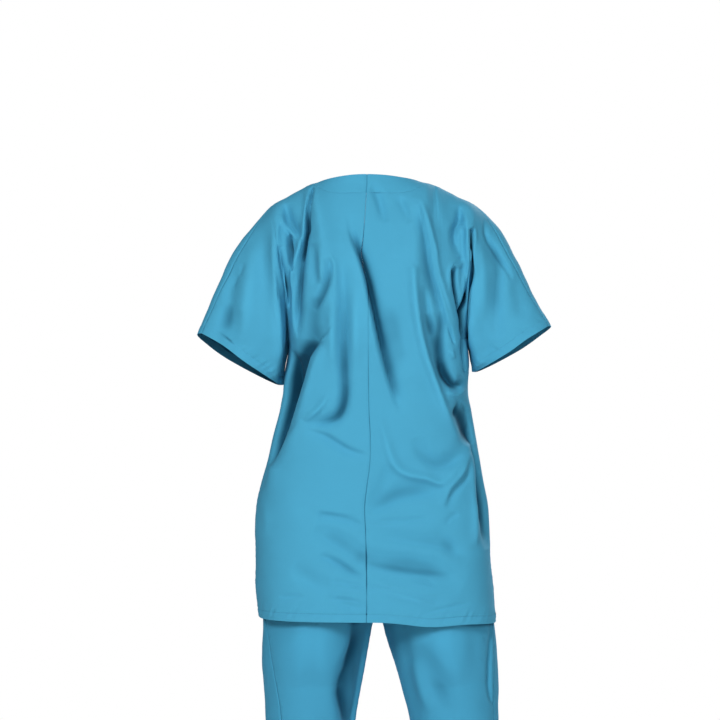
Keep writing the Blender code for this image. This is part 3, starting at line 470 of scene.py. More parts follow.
# How far the back's hem sags, where, and how widely.
HEM_SAG, HEM_SAG_X, HEM_SAG_WIDTH = 6 * MM, -88 * MM, 45 * MM
# How far each side fills out below the sleeve: by side, its height z, swell and spread.
SIDE_FILL = {1: (-306, 4.5, 34), -1: (-282, 4.0, 32)}

# How long a grid's stretches are taken to be when its columns and rows are spaced.
NECK_RUN, SHOULDER_RUN, SLEEVE_RUN = 80, 110, 128
BODY_RUN, UPPER_RUN, FACING_RUN = 438, 218, 32
LEG_RUN, RISE_RUN, FALL_RUN = 190, 210, 735
WAIST_RUN, WAIST_DEPTH = 186, 35
POCKET_RUN, POCKET_DEPTH = 114, 197

# Where a grid is finer, in millimetres from its edges.
NEAR_SEAM = (0, 0.7, 1.6, 3.0)
NEAR_HEM = (0, 0.6, 2, 4, 6, 8, 10, 11.4, 12.3, 13, 13.7, 14.6, 16)
NEAR_LEG_HEM = (0, 0.7, 3, 7, 11, 15, 18, 19.2, 20, 20.8, 22)
NEAR_STITCHES = (0, 0.8, 1.8)
NEAR_CASING = (0, 1, 2.2)

# The grids' steps between, in millimetres.
BACK_STEP, FRONT_STEP, LEG_BACK_STEP, LEG_FRONT_STEP = 2.05, 3.1, 3.0, 4.2
WAIST_STEP, WAIST_ROW_STEP, POCKET_STEP = 3.2, 2.5, 2.6

# The finish of edges: a turned hem's extra ply, the stitches' groove, a seam's roll. A
# side vent's hem is narrower than the hem below it by this share.
HEM_PLY = 0.3 * MM
HEM_INNER_PLY = 0.5 * MM
VENT_HEM = 0.75
CUFF_PUCKER, LEG_PUCKER = 1.3, 1.5
GROOVE = 0.4 * MM
GROOVE_WIDTH = 1.2 * MM
SEAM_ROLL = 0.9 * MM
SEAM_ROLL_WIDTH = 1.4 * MM
SEAM_PUCKER_REACH = 6 * MM
LEG_HEM = 20 * MM
# Painted shade, as depth that the twill darkens: along a seam's crevice, over this width, on
# the inside of the cloth, and along a row of stitches' groove.
SEAM_SHADE = 13 * MM
SEAM_SHADE_WIDTH = 0.9 * MM
INNER_SHADE = 13 * MM
GROOVE_SHADE = 9 * MM
# Painted shadow on the trousers just under the top's hem, which hangs over them.
HEM_SHADE, HEM_SHADE_WIDTH = 15 * MM, 7 * MM

# By half: at which of a top panel's ends, its first or last column, its far edge lies.
FAR_ENDS = {0: (False, True), 1: (True,), -1: (False,)}

# The puckers' lengths along an edge, and those of their rise and fall. Each edge has a seed,
# and a panel with two such edges has the next one too.
PUCKERS, PUCKERS_RISE = (10, 13, 19), (60, 90)
HEM_SEED, UNDER_SLEEVE_SEED, VENT_SEED, SIDE_SEED, CUFF_SEED = 31, 32, 34, 36, 38
CENTRE_SEED, FACING_SEED, OVERARM_SEED = 41, 43, 44
LEG_HEM_SEED, WAIST_SEAM_SEED, OUTER_SEED, INNER_SEED = 51, 52, 53, 54
POCKET_HEM_SEED, POCKET_EDGE_SEED, CASING_SEED = 61, 62, 71

# The pockets' place on the front, the cut of their lower corners, and their sewing.
POCKET_U = (0.336, 0.834)
POCKET_V = (-0.85, -0.40)
POCKET_CORNER, POCKET_CORNER_WIDTH = 0.035, 0.2
POCKET_EASE, POCKET_FULLNESS, POCKET_GAP = 3 * MM, 0.6 * MM, 0.35 * MM
POCKET_HEM = 24 * MM
POCKET_STITCH = 2 * MM
# The grid's line beside the edge on which the pocket's stitches run.
POCKET_LINE = 2

# The waistband's casing: its extra thickness, its gathers' height and its rows of stitches.
CASING_PLY = 0.6 * MM
CASING_GATHER = 0.9 * MM
CASING_ROWS = (9 * MM, 26 * MM)

# A bar tack's stitches, half its width, and their own length and slant.
TACK_COUNT, TACK_HALF, TACK_PITCH, TACK_SLANT = 12, 1.1 * MM, 2.1 * MM, 0.3
TACK_PROUD = 0.15 * MM
VENT_TACK, POCKET_TACK = 9 * MM, 5 * MM
# A vent's stitches go on above it. Its tack is this far in, and lies along these columns.
VENT_SEWN_ON, VENT_TACK_IN, VENT_TACK_COLUMNS = 3 * MM, 5 * MM, 4

# The facing's wall, how far inside the top it lies, how far it runs on below its stitches in
# v, and how far the stitches run on past its ends in u.
FACING_WALL, FACING_GAP, FACING_TUCK = 0.6 * MM, 0.2 * MM, 0.012
FACING_SEWN_ON = 0.02


# ---------------------------------------------------------------- sizes and colours


def length_property(name, description, millimetres, most=50):
    return FloatProperty(
        name=name,
        description=description,
        default=millimetres * MM,
        min=0.0,
        max=most * MM,
        precision=5,
        unit="LENGTH",
    )


def colour_property(name, description, colour):
    return FloatVectorProperty(
        name=name,
        description=description,
        default=colour,
        size=3,
        min=0,
        max=1,
        subtype="COLOR",
    )


class ScrubsSettings(bpy.types.PropertyGroup):
    """The sizes and colours that a maker would change."""

    wall: length_property("Cloth", "Thickness of the twill as it is modelled", 0.7, 3)
    hem: length_property("Hem", "Depth of the turned hems and cuffs", 13)
    pitch: length_property("Stitch pitch", "From one stitch to the next", 3.0, 10)
    stitch: length_property("Stitch length", "Length of thread that shows", 2.5, 10)
    thread: length_property("Thread", "Thickness of the sewing thread", 0.36, 2)
    pucker: length_property("Puckers", "Height of ripples at stitched edges", 1.0, 3)
    unevenness: length_property("Unevenness", "Height of the cloth's waves", 1.3, 5)
    weave: length_property("Twill", "Spacing of the twill's diagonal ribs", 0.8, 5)
    fold_depth: FloatProperty(
        name="Fold depth",
        description="How deep the folds are, 1 being as worn",
        default=1.0,
        min=0.0,
        max=2.0,
        subtype="FACTOR",
    )
    cloth: colour_property("Top", "The top's twill", (0.064, 0.335, 0.512))
    inside: colour_property("Facing", "The twill's wrong side", (0.052, 0.300, 0.470))
    trousers: colour_property("Trousers", "Their twill", (0.055, 0.304, 0.478))
    thread_colour: colour_property("Thread", "The thread", (0.060, 0.330, 0.500))


def worn(settings):
    """How deep the folds are and how high the cloth's waves."""
    return settings.fold_depth, settings.unevenness


# ---------------------------------------------------------------- curves


def smooth_curve(keys, values, at):
    """The value at 'at' on a smooth curve through the values at these keys."""
    order = np.argsort(keys)
    keys = keys[order]
    values = values[order]
    slopes = np.gradient(values, keys)
    at = np.clip(at, keys[0], keys[-1])
    i = np.clip(np.searchsorted(keys, at) - 1, 0, len(keys) - 2)
    step = keys[i + 1] - keys[i]
    t = (at - keys[i]) / step
    left = (1 - t) ** 2
    before = (1 + 2 * t) * left * values[i] + t * left * step * slopes[i]
    after = t**2 * (3 - 2 * t) * values[i + 1] - t**2 * (1 - t) * step * slopes[i + 1]
    return before + after


def through(table, key, field, at):
    """The field's value at 'at', on a smooth curve through the table's rows."""
    keys = np.array([getattr(row, key) for row in table], float)
    values = np.array([getattr(row, field) for row in table], float)
    return smooth_curve(keys, values, at)


def smooth_step(low, high, at):
    t = np.clip((at - low) / (high - low), 0, 1)
    return t * t * (3 - 2 * t)


def mix(a, b, share):
    return a + (b - a) * share


def unit(vectors):
    length = np.linalg.norm(vectors, axis=-1, keepdims=True)
    return vectors / np.maximum(length, TINY)


def bell(distance, width):
    return np.exp(-((distance / width) ** 2))


def bezier(a, b, c, d, t):
    t = t[..., None]
    s = 1 - t
    return s**3 * a + 3 * s**2 * t * b + 3 * s * t**2 * c + t**3 * d


def points(x, y, z):
    """Places in metres, of coordinates in millimetres."""
    return np.stack(np.broadcast_arrays(x, y, z), axis=-1) * MM


def run_along(line):
    """How far each of a line's points is along it."""
    steps = np.linalg.norm(np.diff(line, axis=0), axis=-1)
    return np.concatenate([[0], np.cumsum(steps)])


# ---------------------------------------------------------------- the top's smooth form


def outward_of(face):
    """The sign of y on a face's side of the body."""
    return 1 if face == "back" else -1


def hem_height(u):
    """The hem's z, lower or higher at each side than in the middle."""
    side = np.where(u > 0, HEM_Z[1], HEM_Z[-1])
    return mix(HEM_Z[0], side, np.clip(np.abs(u), 0, 1) ** 2)


def body_ring(face, u, v):
    """A half ring round the body, from the centre to one side seam, at v of -1 to 0."""
    side = np.where(u > 0, 1, -1)
    across = np.clip(np.abs(u), 0, 1)
    underarm = np.where(u > 0, UNDERARM[1][2], UNDERARM[-1][2])
    centre_z = mix(CENTRE_UNDERARM_Z, HEM_Z[0], -v)
    side_z = mix(underarm, np.where(u > 0, HEM_Z[1], HEM_Z[-1]), -v)
    reach = np.where(
        u > 0, through(BODY, "z", "left", side_z), through(BODY, "z", "right", side_z)
    )
    back_centre = through(BODY, "z", "centre", centre_z)
    centre = back_centre if face == "back" else FRONT_MIDDLE
    out = through(BODY, "z", face, centre_z)
    width = side * reach - centre
    start = points(centre, out, centre_z)
    first = points(centre + RING_WIDTH * width, out, centre_z)
    last = points(side * reach, RING_DEPTH * out, side_z)
    end = points(side * reach, 0 * out, side_z)
    return bezier(start, first, last, end, across)


def under_sleeve(u):
    """The seam under the sleeve, from the underarm (1) to the cuff (2)."""
    side = np.where(u > 0, 1, -1)
    left = (side > 0)[..., None]
    t = np.clip(np.abs(u) - 1, 0, 1)[..., None]
    start = np.where(left, UNDERARM[1], UNDERARM[-1]) * MM
    end = np.where(left, CUFF_CORNER[1], CUFF_CORNER[-1]) * MM
    return mix(start, end, t) * sideways(side)


def sideways(side):
    """Turns a place on the left into its like on each side, 1 being the left."""
    return np.stack([side, side * side, side * side], axis=-1)


def shoulder_field(name, u):
    at = np.abs(u)
    left = through(SHOULDER_LEFT, "u", name, at)
    right = through(SHOULDER_RIGHT, "u", name, at)
    return np.where(u > 0, left, right)


def shoulder_seam(u):
    """The shoulder and overarm seam, and the cloth's direction across it to the front."""
    side = np.where(u > 0, 1, -1)
    x, y, z = (shoulder_field(name, u) for name in "xyz")
    place = points(side * x, y, z)
    turn = np.radians(shoulder_field("turn", u))[..., None]
    nudge = SEAM_SLOPE_STEP * side
    run = shoulder_field("x", u + nudge) - shoulder_field("x", u - nudge)
    fall = shoulder_field("z", u + nudge) - shoulder_field("z", u - nudge)
    out = unit(np.stack([-side * fall, 0 * run, run], axis=-1))
    return place, -Y * np.cos(turn) + out * np.sin(turn)


def top_edge(face, u):
    """The upper end of each column and its direction there, on the neckline and then on the
    shoulder."""
    side = np.where(u > 0, 1, -1)
    at = np.abs(u)
    seam, across = shoulder_seam(np.where(at < NECK_U, side * NECK_U, u))
    droop = np.array([0.0, 0.0, CUFF_DROOP]) * smooth_step(1.4, 2.0, at)[..., None]
    arrive = across if face == "back" else unit(droop - across)
    centre, handle, tail, lean = (np.array(part) for part in NECK[face])
    t = np.clip(at / NECK_U, 0, 1)
    start = centre * MM + 0 * seam
    first = start + (handle - centre) * sideways(side) * MM
    last = seam + tail * sideways(side) * MM
    neck = bezier(start, first, last, seam, t)
    neck_arrive = unit(mix(lean, arrive, smooth_step(0.1, 1.0, t)[..., None]))
    is_neck = (at < NECK_U)[..., None]
    return np.where(is_neck, neck, seam), np.where(is_neck, neck_arrive, arrive)


def column(face, u, v):
    """A column of the upper block, from the underarm to the neckline or the overarm seam."""
    at = np.abs(u)
    outward = outward_of(face)
    step = 0.01
    ring = body_ring(face, u, 0 * v)
    bottom = np.where((at > 1)[..., None], under_sleeve(u), ring)
    rising = unit(ring - body_ring(face, u, 0 * v - step))
    crevice = np.array([0.0, CREVICE_OUT * outward, CREVICE_UP])
    sleeve = np.array([0.0, 1.0 * outward, SLEEVE_UP[face]])
    leave = mix(rising, crevice, smooth_step(0.72, 1.0, at)[..., None])
    leave = unit(mix(leave, sleeve, smooth_step(1.0, 1.3, at)[..., None]))
    top, arrive = top_edge(face, u)
    length = np.linalg.norm(top - bottom, axis=-1)
    reach = (through(REACH, "u", face, at) * length)[..., None]
    drops = np.array(FACING_DROP[face]) * MM
    places = np.array([0, NECK_U / 2, NECK_U])
    drop = smooth_curve(places, drops, np.clip(at, 0, NECK_U))
    band = 1 - FACING_V
    share = drop / (length * COLUMN_CURVE)
    t = np.where(v < FACING_V, v / FACING_V * (1 - share), 1 - (1 - v) / band * share)
    clear = smooth_step(1.0, 1.1, at) * smooth_step(0, 0.08, v)
    clear = clear * (1 - smooth_step(0.5, 0.8, v))
    aside = np.sign(u)[..., None] * X * (SLEEVE_CLEAR * clear)[..., None]
    return bezier(bottom, bottom + leave * reach, top - arrive * reach, top, t) + aside


def top_form(face, u, v):
    """The top's smooth surface, without folds."""
    below = body_ring(face, u, np.minimum(v, 0))
    above = column(face, u, np.maximum(v, 0))
    return np.where((v < 0)[..., None], below, above)


# ---------------------------------------------------------------- the trousers' smooth form


def leg_form(face, side, u, v):
    """One leg's surface, from the waistband's top past the crotch to the ankle."""
    table = LEG_LEFT if side > 0 else LEG_RIGHT
    outward = outward_of(face)
    rise = np.clip(v / CROTCH_V, 0, 1)
    fall = np.clip((v - CROTCH_V) / (1 - CROTCH_V), 0, 1)
    outer_z = np.where(
        v < 0,
        mix(WAIST_Z, WAIST_TOP_Z, -v),
        mix(mix(WAIST_Z, CROTCH_Z - OUTER_DROP, rise), ANKLE_Z, fall),
    )
    depth = through(table, "z", face, outer_z)
    turn = np.radians(through(table, "z", "turn", outer_z))[..., None]
    seam_x = through(table, "z", "seam_x", outer_z)
    outer = points(side * seam_x, through(table, "z", "seam_y", outer_z), outer_z)
    leave = outward * Y * np.cos(turn) - outward * X * side * np.sin(turn)

    waist = points(WAIST_X, depth, outer_z)
    bulge_y, bulge_z = RISE_BULGE[face]
    start = points(WAIST_X, through(table, "z", face, WAIST_Z + 0 * v), WAIST_Z)
    first = points(BULGE_X + 0 * v, bulge_y, bulge_z)
    last = points(CROTCH_X + 0 * v, bulge_y * RISE_TAIL, CROTCH_Z - 4)
    crotch = points(CROTCH_X + 0 * v, 0 * v, CROTCH_Z)
    rise_point = bezier(start, first, last, crotch, rise)
    inner_z = mix(CROTCH_Z, ANKLE_Z, fall)
    inseam = points(side * through(table, "z", "inner", inner_z), 0 * v, inner_z)
    below = np.where((v < CROTCH_V)[..., None], rise_point, inseam)
    inner = np.where((v < 0)[..., None], waist, below)
    down = smooth_step(0.45, 1.0, rise)[..., None]
    arrive = unit(mix(-X * side, -Y * outward, down) + 0 * inner)

    span = np.linalg.norm(outer - inner, axis=-1)
    thick = np.abs(depth * MM)
    leave_reach = (mix(0.62, 0.85, down[..., 0]) * thick + 0.08 * span)[..., None]
    arrive_reach = mix(0.56 * span, 1.15 * thick, down[..., 0])[..., None]
    first, last = outer + leave * leave_reach, inner - arrive * arrive_reach
    hip = bezier(outer, first, last, inner, u)
    oval = leg_ring(face, side, u, fall)
    return mix(hip, oval, smooth_step(0, RING_V, fall)[..., None])


def leg_ring(face, side, u, fall):
    """The same stretch of a leg as an oval ring, which takes over below the crotch."""
    table = LEG_LEFT if side > 0 else LEG_RIGHT
    outer_z = mix(CROTCH_Z - OUTER_DROP, ANKLE_Z, fall)
    z = mix(outer_z, mix(CROTCH_Z, ANKLE_Z, fall), u)
    outer = through(table, "z", "outer", z)
    inner = through(table, "z", "inner", z)
    turn = through(table, "z", "turn", z)
    angle = np.radians(mix(turn, 180 * outward_of(face), u))
    back, front = through(table, "z", "back", z), through(table, "z", "front", z)
    depth = np.where(np.sin(angle) > 0, back, -front)
    x = (outer + inner) / 2 + (outer - inner) / 2 * np.cos(angle)
    return points(side * x, depth * np.sin(angle), z)


def facing_of(form, face, u, v):
    """The smooth surface's outward direction."""
    across = form(u + SLOPE_STEP, v) - form(u - SLOPE_STEP, v)
    up = form(u, v + SLOPE_STEP) - form(u, v - SLOPE_STEP)
    return -outward_of(face) * unit(np.cross(across, up))


# ---------------------------------------------------------------- folds


def fold_line(fold):
    """A fold's line in short steps."""
    knots = np.array(fold.path, float) * MM
    keys = np.arange(len(knots), dtype=float)
    at = np.linspace(0, keys[-1], FOLD_STEPS * (len(knots) - 1) + 1)
    return np.stack([smooth_curve(keys, knots[:, i], at) for i in (0, 1)], axis=-1)


def fold_shape(fold, flat):
    """A fold's share of its depth at each place (x, z)."""
    line = fold_line(fold)
    along = np.diff(line, axis=0)[:, None]
    away = flat[None] - line[:-1, None]
    share = np.clip((away * along).sum(-1) / (along**2).sum(-1), 0, 1)
    off = away - share[..., None] * along
    distance = np.hypot(off[..., 0], off[..., 1])
    best = distance.argmin(axis=0)
    lane = np.arange(len(flat))
    off, share, distance = off[best, lane], share[best, lane], distance[best, lane]
    run = along[best, 0]
    to_left = run[:, 0] * off[:, 1] - run[:, 1] * off[:, 0] > 0
    width = np.where(to_left, fold.left, fold.right) * MM
    ends = mix(fold.start, fold.end, (best + share) / len(along))
    middle = 1 - np.abs(2 * (best + share) / len(along) - 1) ** FOLD_FADE
    sharp = np.exp(-PINCH_SPREAD * distance / width)
    return (ends + (1 - ends) * middle) * mix(bell(distance, width), sharp, fold.pinch)


def fold_shift(face, folds, place, facing):
    """How far a face's folds move the cloth at each place, out and square to the body."""
    moved = np.zeros(place.shape)
    flat = place[..., [0, 2]]
    outward = outward_of(face)
    weight = smooth_step(*FOLD_FACING, facing[..., 1] * outward)
    for fold in folds:
        path = np.array(fold.path) * MM
        margin = FOLD_WIDTHS * max(fold.left, fold.right) * MM
        margin += FOLD_OVERSHOOT * np.ptp(path, axis=0).max()
        inside = (flat > path.min(axis=0) - margin) & (flat < path.max(axis=0) + margin)
        near = inside.all(axis=-1) & (weight > 0)
        if not near.any():
            continue
        way = unit(mix(facing[near], Y * outward, FOLD_SQUARE))
        size = fold.depth * MM * fold_shape(fold, flat[near]) * weight[near]
        moved[near] += way * size[:, None]
    return moved


def waves(place, lengths, seed):
    """Soft unevenness of about -1 to 1: waves of these lengths in drawn directions."""
    random = np.random.default_rng(seed)
    total = np.zeros(place.shape[:-1])
    for length in lengths:
        for _ in range(3):
            way = unit(random.normal(size=place.shape[-1]))
            turn = random.uniform(0, 2 * np.pi)
            total += np.sin(place @ way * (2 * np.pi / (length * MM)) + turn)
    return total / (1.5 * math.sqrt(3 * len(lengths)))


def unevenness_at(place, kind):
    """The cloth's wide and fine waves together."""
    fine = waves(place, kind.fine, kind.fine_seed)
    return waves(place, kind.wide, kind.wide_seed) + FINE_SHARE * fine


# ---------------------------------------------------------------- panels


# A panel's columns and rows, its outer points, the way in at each, and how deep each lies
# in a fold, with depth added at seams, grooves and the inside, for the twill's painted shade
# and painted highlight. A sleeved panel has no faces where |u| > 1 and v < 0.
Grid = namedtuple("Grid", "us vs spot into sunk sleeved")


def shares(length, step, first, last):
    """Places from 0 to 1 along a length: as listed at each end, and a step apart between."""
    start, stop = first[-1], length - last[-1]
    middle = np.linspace(start, stop, max(2, round((stop - start) / step)))
    ending = length - np.array(last[-2::-1], float)
    return np.concatenate([first[:-1], middle, ending]) / length


def joined(*stretches):
    """Stretches of columns or rows as one, in order and each place once."""
    return np.unique(np.round(np.concatenate(stretches), 6))


def top_columns(step):
    neck = shares(NECK_RUN, step, NEAR_SEAM, (0,)) * NECK_U
    side = NECK_U + shares(SHOULDER_RUN, step, (0,), NEAR_SEAM) * (1 - NECK_U)
    sleeve = 1 + shares(SLEEVE_RUN, step, NEAR_SEAM, NEAR_HEM)
    return joined(neck, side, sleeve)


def top_rows(step):
    body = -1 + shares(BODY_RUN, step, NEAR_HEM, NEAR_SEAM)
    upper = shares(UPPER_RUN, step, NEAR_SEAM, NEAR_STITCHES) * FACING_V
    band = shares(FACING_RUN, step, NEAR_STITCHES, NEAR_SEAM)
    band = FACING_V + band * (1 - FACING_V)
    return joined(body, upper, band)


def heading(spot, axis):
    """The grid's direction along an axis: at each point, midway between its two edges."""
    edges = unit(np.diff(spot, axis=axis))
    before = np.concatenate([edges.take([0], axis=axis), edges], axis=axis)
    after = np.concatenate([edges, edges.take([-1], axis=axis)], axis=axis)
    return before + after


def ways_in(spot, rims, facing):
    """The unit way in through the cloth: as a seam gives it, or else square to the grid."""
    square = unit(np.cross(heading(spot, 1), heading(spot, 0)))
    square *= -np.sign(np.sum(square * facing))
    at_seam = np.abs(rims).sum(axis=-1, keepdims=True) > 0
    return np.where(at_seam, rims, square)


def rim(tangent, across, facing):
    """The way in through the cloth at a seam: square to it and to the way across it."""
    way = unit(np.cross(tangent, across))
    inside = np.sign(np.sum(way * facing, axis=-1, keepdims=True))
    return -way * inside


def inside_u(u):
    """Moves a place off the centre line and the cuff, where the surface's halves end."""
    side = np.where(u < 0, -1, 1)
    return side * np.clip(np.abs(u), INSIDE, 2 - INSIDE)


def inside_v(u, v):
    return np.clip(v, np.where(np.abs(u) > 1, INSIDE, -1 + INSIDE), 1 - INSIDE)


def worn_form(face, u, v):
    """The smooth form with its crease below the neck's corner eased, and its sleeves
    pressed square along the crevice beside the body."""
    form = top_form(face, u, v)
    at, side = np.abs(u), np.sign(u)
    near = bell(at - NECK_U, EASE_U) * smooth_step(0.05, 0.3, v)
    near = near * (1 - smooth_step(0.93, 1, v))
    steps = (-1, -0.5, 0.5, 1)
    around = [top_form(face, side * (at + step * EASE_U), v) for step in steps]
    form = mix(form, np.mean([form, *around], axis=0), near[..., None])
    press = SLEEVE_PRESS * bell(v - PRESS_V, PRESS_SPREAD) * smooth_step(0, 0.04, v)
    press *= smooth_step(1.0, 1.12, at) * (1 - smooth_step(1.9, 2.0, at))
    way = Y * outward_of(face) - PRESS_ASIDE * X * side[..., None]
    return form + way * press[..., None]


def slide(face, u, v):
    """How far the cloth lies from the smooth form: sideways at the centre seam and below
    the sleeves, and down where the back's hem sags."""
    x, _, z = np.moveaxis(top_form(face, u, v), -1, 0)
    moved = 0 * x
    sag = 0 * x
    if face == "back":
        moved += through(SEAM_SLIDE, "z", "x", z / MM) * MM * bell(x, SLIDE_WIDTH)
        low = np.clip(-4 * v - 3, 0, 1) ** 2
        sag = HEM_SAG * bell(x - HEM_SAG_X, HEM_SAG_WIDTH) * low
    for side, (level, swell, spread) in SIDE_FILL.items():
        here = (u * side > 0) & (v <= 0)
        fill = swell * MM * bell(z - level * MM, spread * MM)
        moved += side * (fill * smooth_step(0.6, 1.0, np.abs(u))) * here
    return X * moved[..., None] - Z * sag[..., None]


def top_skin(face, u, v, fold_depth, unevenness):
    """The top's outer surface with its folds, its smooth surface's outward direction, and
    how far out it lies. The other face's folds reach it only over the shoulder and arm."""
    base = worn_form(face, u, v) + slide(face, u, v)
    form = partial(top_form, face)
    facing = facing_of(form, face, inside_u(u), inside_v(u, v))
    near = smooth_step(UNDERARM_CALM_U, 1.0, np.abs(u))
    calm = near * (1 - smooth_step(0.0, UNDERARM_CALM_V, np.abs(v)))
    over = smooth_step(0.6, 0.8, v)[..., None]
    other = "front" if face == "back" else "back"
    shift = fold_shift(face, TOP_FOLDS[face], base, facing) * (1 - calm)[..., None]
    shift = shift + fold_shift(other, TOP_FOLDS[other], base, facing) * over
    shift = fold_depth * shift
    soft = unevenness_at(base * WAVES_LEAN, TOP_WAVES)
    steady = smooth_step(0, 0.05, np.abs(np.abs(u) - 1) + np.clip(v, 0, 1))
    shift = shift + facing * (unevenness * soft * steady)[..., None]
    return base + shift, facing, np.sum(shift * facing, axis=-1)


@lru_cache(maxsize=None)
def top_grid(face, half, step, fold_depth, unevenness):
    """A panel of the top. half is a back piece's side, or 0 if it crosses the centre."""
    columns = top_columns(step)
    if half == 0:
        columns = np.concatenate([-columns[:0:-1], columns])
    us = -columns[::-1] if half < 0 else columns
    vs = top_rows(step)
    u, v = np.meshgrid(us, vs)
    grid = top_place(face, half, u, v, fold_depth, unevenness)
    return grid._replace(us=us, vs=vs, sleeved=True)


def top_place(face, half, u, v, fold_depth, unevenness):
    """The grid of places (u, v) on the top, with the seams' gaps and the vents opened."""
    outward = outward_of(face)
    u = np.where(u == 0, SAME * (half or 1), u)
    at = np.abs(u)
    spot, facing, out = top_skin(face, u, v, fold_depth, unevenness)
    into = np.zeros_like(spot)
    level = inside_v(u, v)
    up = top_form(face, u, level + SLOPE_STEP) - top_form(face, u, level - SLOPE_STEP)
    side = np.where(u > 0, 1, -1)
    opening = VENT_SPREAD * smooth_step(0, 1, vent_share(u, spot))

    side_seam = np.isclose(at, 1) & (v <= 0)
    under = np.isclose(v, 0) & (at > 1)
    shoulder = np.isclose(v, 1) & (at > NECK_U - NEARLY_SAME)
    centre = (at < NEARLY_SAME) & bool(half)
    along_under = under_sleeve(side * 1.6) - under_sleeve(side * 1.5)
    _, across = shoulder_seam(np.where(at < NECK_U, side * NECK_U, u))
    farther, _ = shoulder_seam(side * np.clip(at + SEAM_SLOPE_STEP, NECK_U, 2))
    nearer, _ = shoulder_seam(side * np.clip(at - SEAM_SLOPE_STEP, NECK_U, 2))
    gap = SEAM_GAP / 2 + 0 * opening
    pull = np.zeros_like(spot)
    for where, way, tangent, away in (
        (side_seam, Y * outward, up, SEAM_GAP / 2 + opening),
        (under, Y * outward, along_under, gap),
        (shoulder, -across * outward, farther - nearer, gap),
        (centre, X * half, up, gap),
    ):
        way = np.broadcast_to(way, spot.shape)
        into = np.where(where[..., None], rim(tangent, way, facing), into)
        pull += np.where(where[..., None], way * away[..., None], 0)
    underarm = (np.isclose(at, 1) & np.isclose(v, 0))[..., None]
    into = np.where(underarm, Z, into)
    spread = opening * smooth_step(0.9, 1.0, at) * ~side_seam * (v < 0)
    spot = spot + pull + Y * outward * spread[..., None]
    # Its depth below the smooth form is kept for the twill's painted shade and highlight.
    return Grid(None, None, spot, ways_in(spot, into, facing), -out, False)


def vent_share(u, spot):
    """0 at the top of the side vents to 1 at the hem."""
    return np.clip((hem_height(u) * MM + HEM_VENT - spot[..., 2]) / HEM_VENT, 0, 1)


def leg_rows(step):
    rise = shares(RISE_RUN, step, NEAR_SEAM, (0,)) * CROTCH_V
    fall = CROTCH_V + shares(FALL_RUN, step, (0,), NEAR_LEG_HEM) * (1 - CROTCH_V)
    return joined(rise, fall)


def leg_skin(face, side, u, v, fold_depth, unevenness):
    """A leg's outer surface with its folds, its smooth surface's outward direction, and how
    far out it lies."""
    base = leg_form(face, side, u, v)
    inner_u = np.clip(u, INSIDE, 1 - INSIDE)
    inner_v = np.clip(v, -1, 1 - INSIDE)
    facing = side * facing_of(partial(leg_form, face, side), face, inner_u, inner_v)
    shift = fold_shift("back", LEG_FOLDS["back"], base, facing)
    shift = fold_depth * (shift + fold_shift("front", LEG_FOLDS["front"], base, facing))
    soft = unevenness_at(base, LEG_WAVES)
    steady = smooth_step(0, 0.06, u) * smooth_step(0, 0.06, 1 - u)
    steady = steady * smooth_step(0, 0.02, v)
    gather = smooth_step(0, 0.01, v) * (1 - smooth_step(0.02, 0.16, v))
    ripple = waves(base * WAIST_RIPPLES_LEAN, WAIST_RIPPLES, WAIST_RIPPLES_SEED)
    ripple = ripple * gather * WAIST_RIPPLE_HEIGHT * steady
    shift = shift + facing * (unevenness * soft * steady + ripple)[..., None]
    return base + shift, facing, np.sum(shift * facing, axis=-1)


def leg_grid(face, side, step, fold_depth, unevenness):
    """A leg's panel, with the seams' gaps opened."""
    us = shares(LEG_RUN, step, NEAR_SEAM, NEAR_SEAM)
    vs = leg_rows(step)
    u, v = np.meshgrid(us, vs)
    spot, facing, out = leg_skin(face, side, u, v, fold_depth, unevenness)
    form = partial(leg_form, face, side)
    lower, upper = np.clip(v - INSIDE, -1, 1), np.clip(v + INSIDE, -1, 1)
    along = form(u, upper) - form(u, lower)
    outer_way = unit(form(INSIDE + 0 * u, v) - form(0 * u, v))
    outward = Y * outward_of(face)
    outer = np.isclose(u, 0)
    inseam = np.isclose(u, 1) & (v >= CROTCH_V - NEARLY_SAME)
    centre = np.isclose(u, 1) & (v <= CROTCH_V + NEARLY_SAME)
    into = np.zeros_like(spot)
    pull = np.zeros_like(spot)
    for where, way in ((outer, outer_way), (inseam, outward), (centre, X * side)):
        way = np.broadcast_to(way, spot.shape)
        into = np.where(where[..., None], rim(along, way, facing), into)
        pull += np.where(where[..., None], way * SEAM_GAP / 2, 0)
    crotch = (inseam & centre)[..., None]
    into = np.where(crotch, unit(X * side + Z), into)
    top = np.isclose(v, 0)[..., None]
    unset = np.abs(into).sum(axis=-1, keepdims=True) == 0
    into = np.where(top & unset, -facing, into)
    spot = spot + pull - np.where(top, Z * SEAM_GAP / 2, 0)
    # Its depth below the smooth form is kept for the twill's painted shade and highlight.
    return Grid(us, vs, spot, ways_in(spot, into, facing), -out, False)


def band_grid(fold_depth, unevenness):
    """The waistband's grid: u runs 0 to 4 round the waist, a leg's quarter at a time."""
    quarter_us = shares(WAIST_RUN, WAIST_STEP, (0,), (0,))
    us = joined(*(quarter + quarter_us for quarter in range(4)))
    vs = -shares(WAIST_DEPTH, WAIST_ROW_STEP, NEAR_CASING, NEAR_CASING)[::-1]
    u, v = np.meshgrid(us, vs)
    spot, into, way_out = (np.zeros(u.shape + (3,)) for _ in range(3))
    quarters = (("back", 1), ("back", -1), ("front", -1), ("front", 1))
    for quarter, (face, side) in enumerate(quarters):
        here = (u >= quarter) & (u <= quarter + 1)
        share = u[here] - quarter
        along = share if quarter in (0, 2) else 1 - share
        skin = leg_skin(face, side, along, v[here], fold_depth, unevenness)
        spot[here], way_out[here], _ = skin
    bottom = np.isclose(v, 0)[..., None]
    into = np.where(bottom, -way_out, into)
    spot = spot + np.where(bottom, Z * SEAM_GAP / 2, 0)
    return Grid(us, vs, spot, ways_in(spot, into, way_out), np.zeros(u.shape), False)


# ---------------------------------------------------------------- hems, seams, puckers


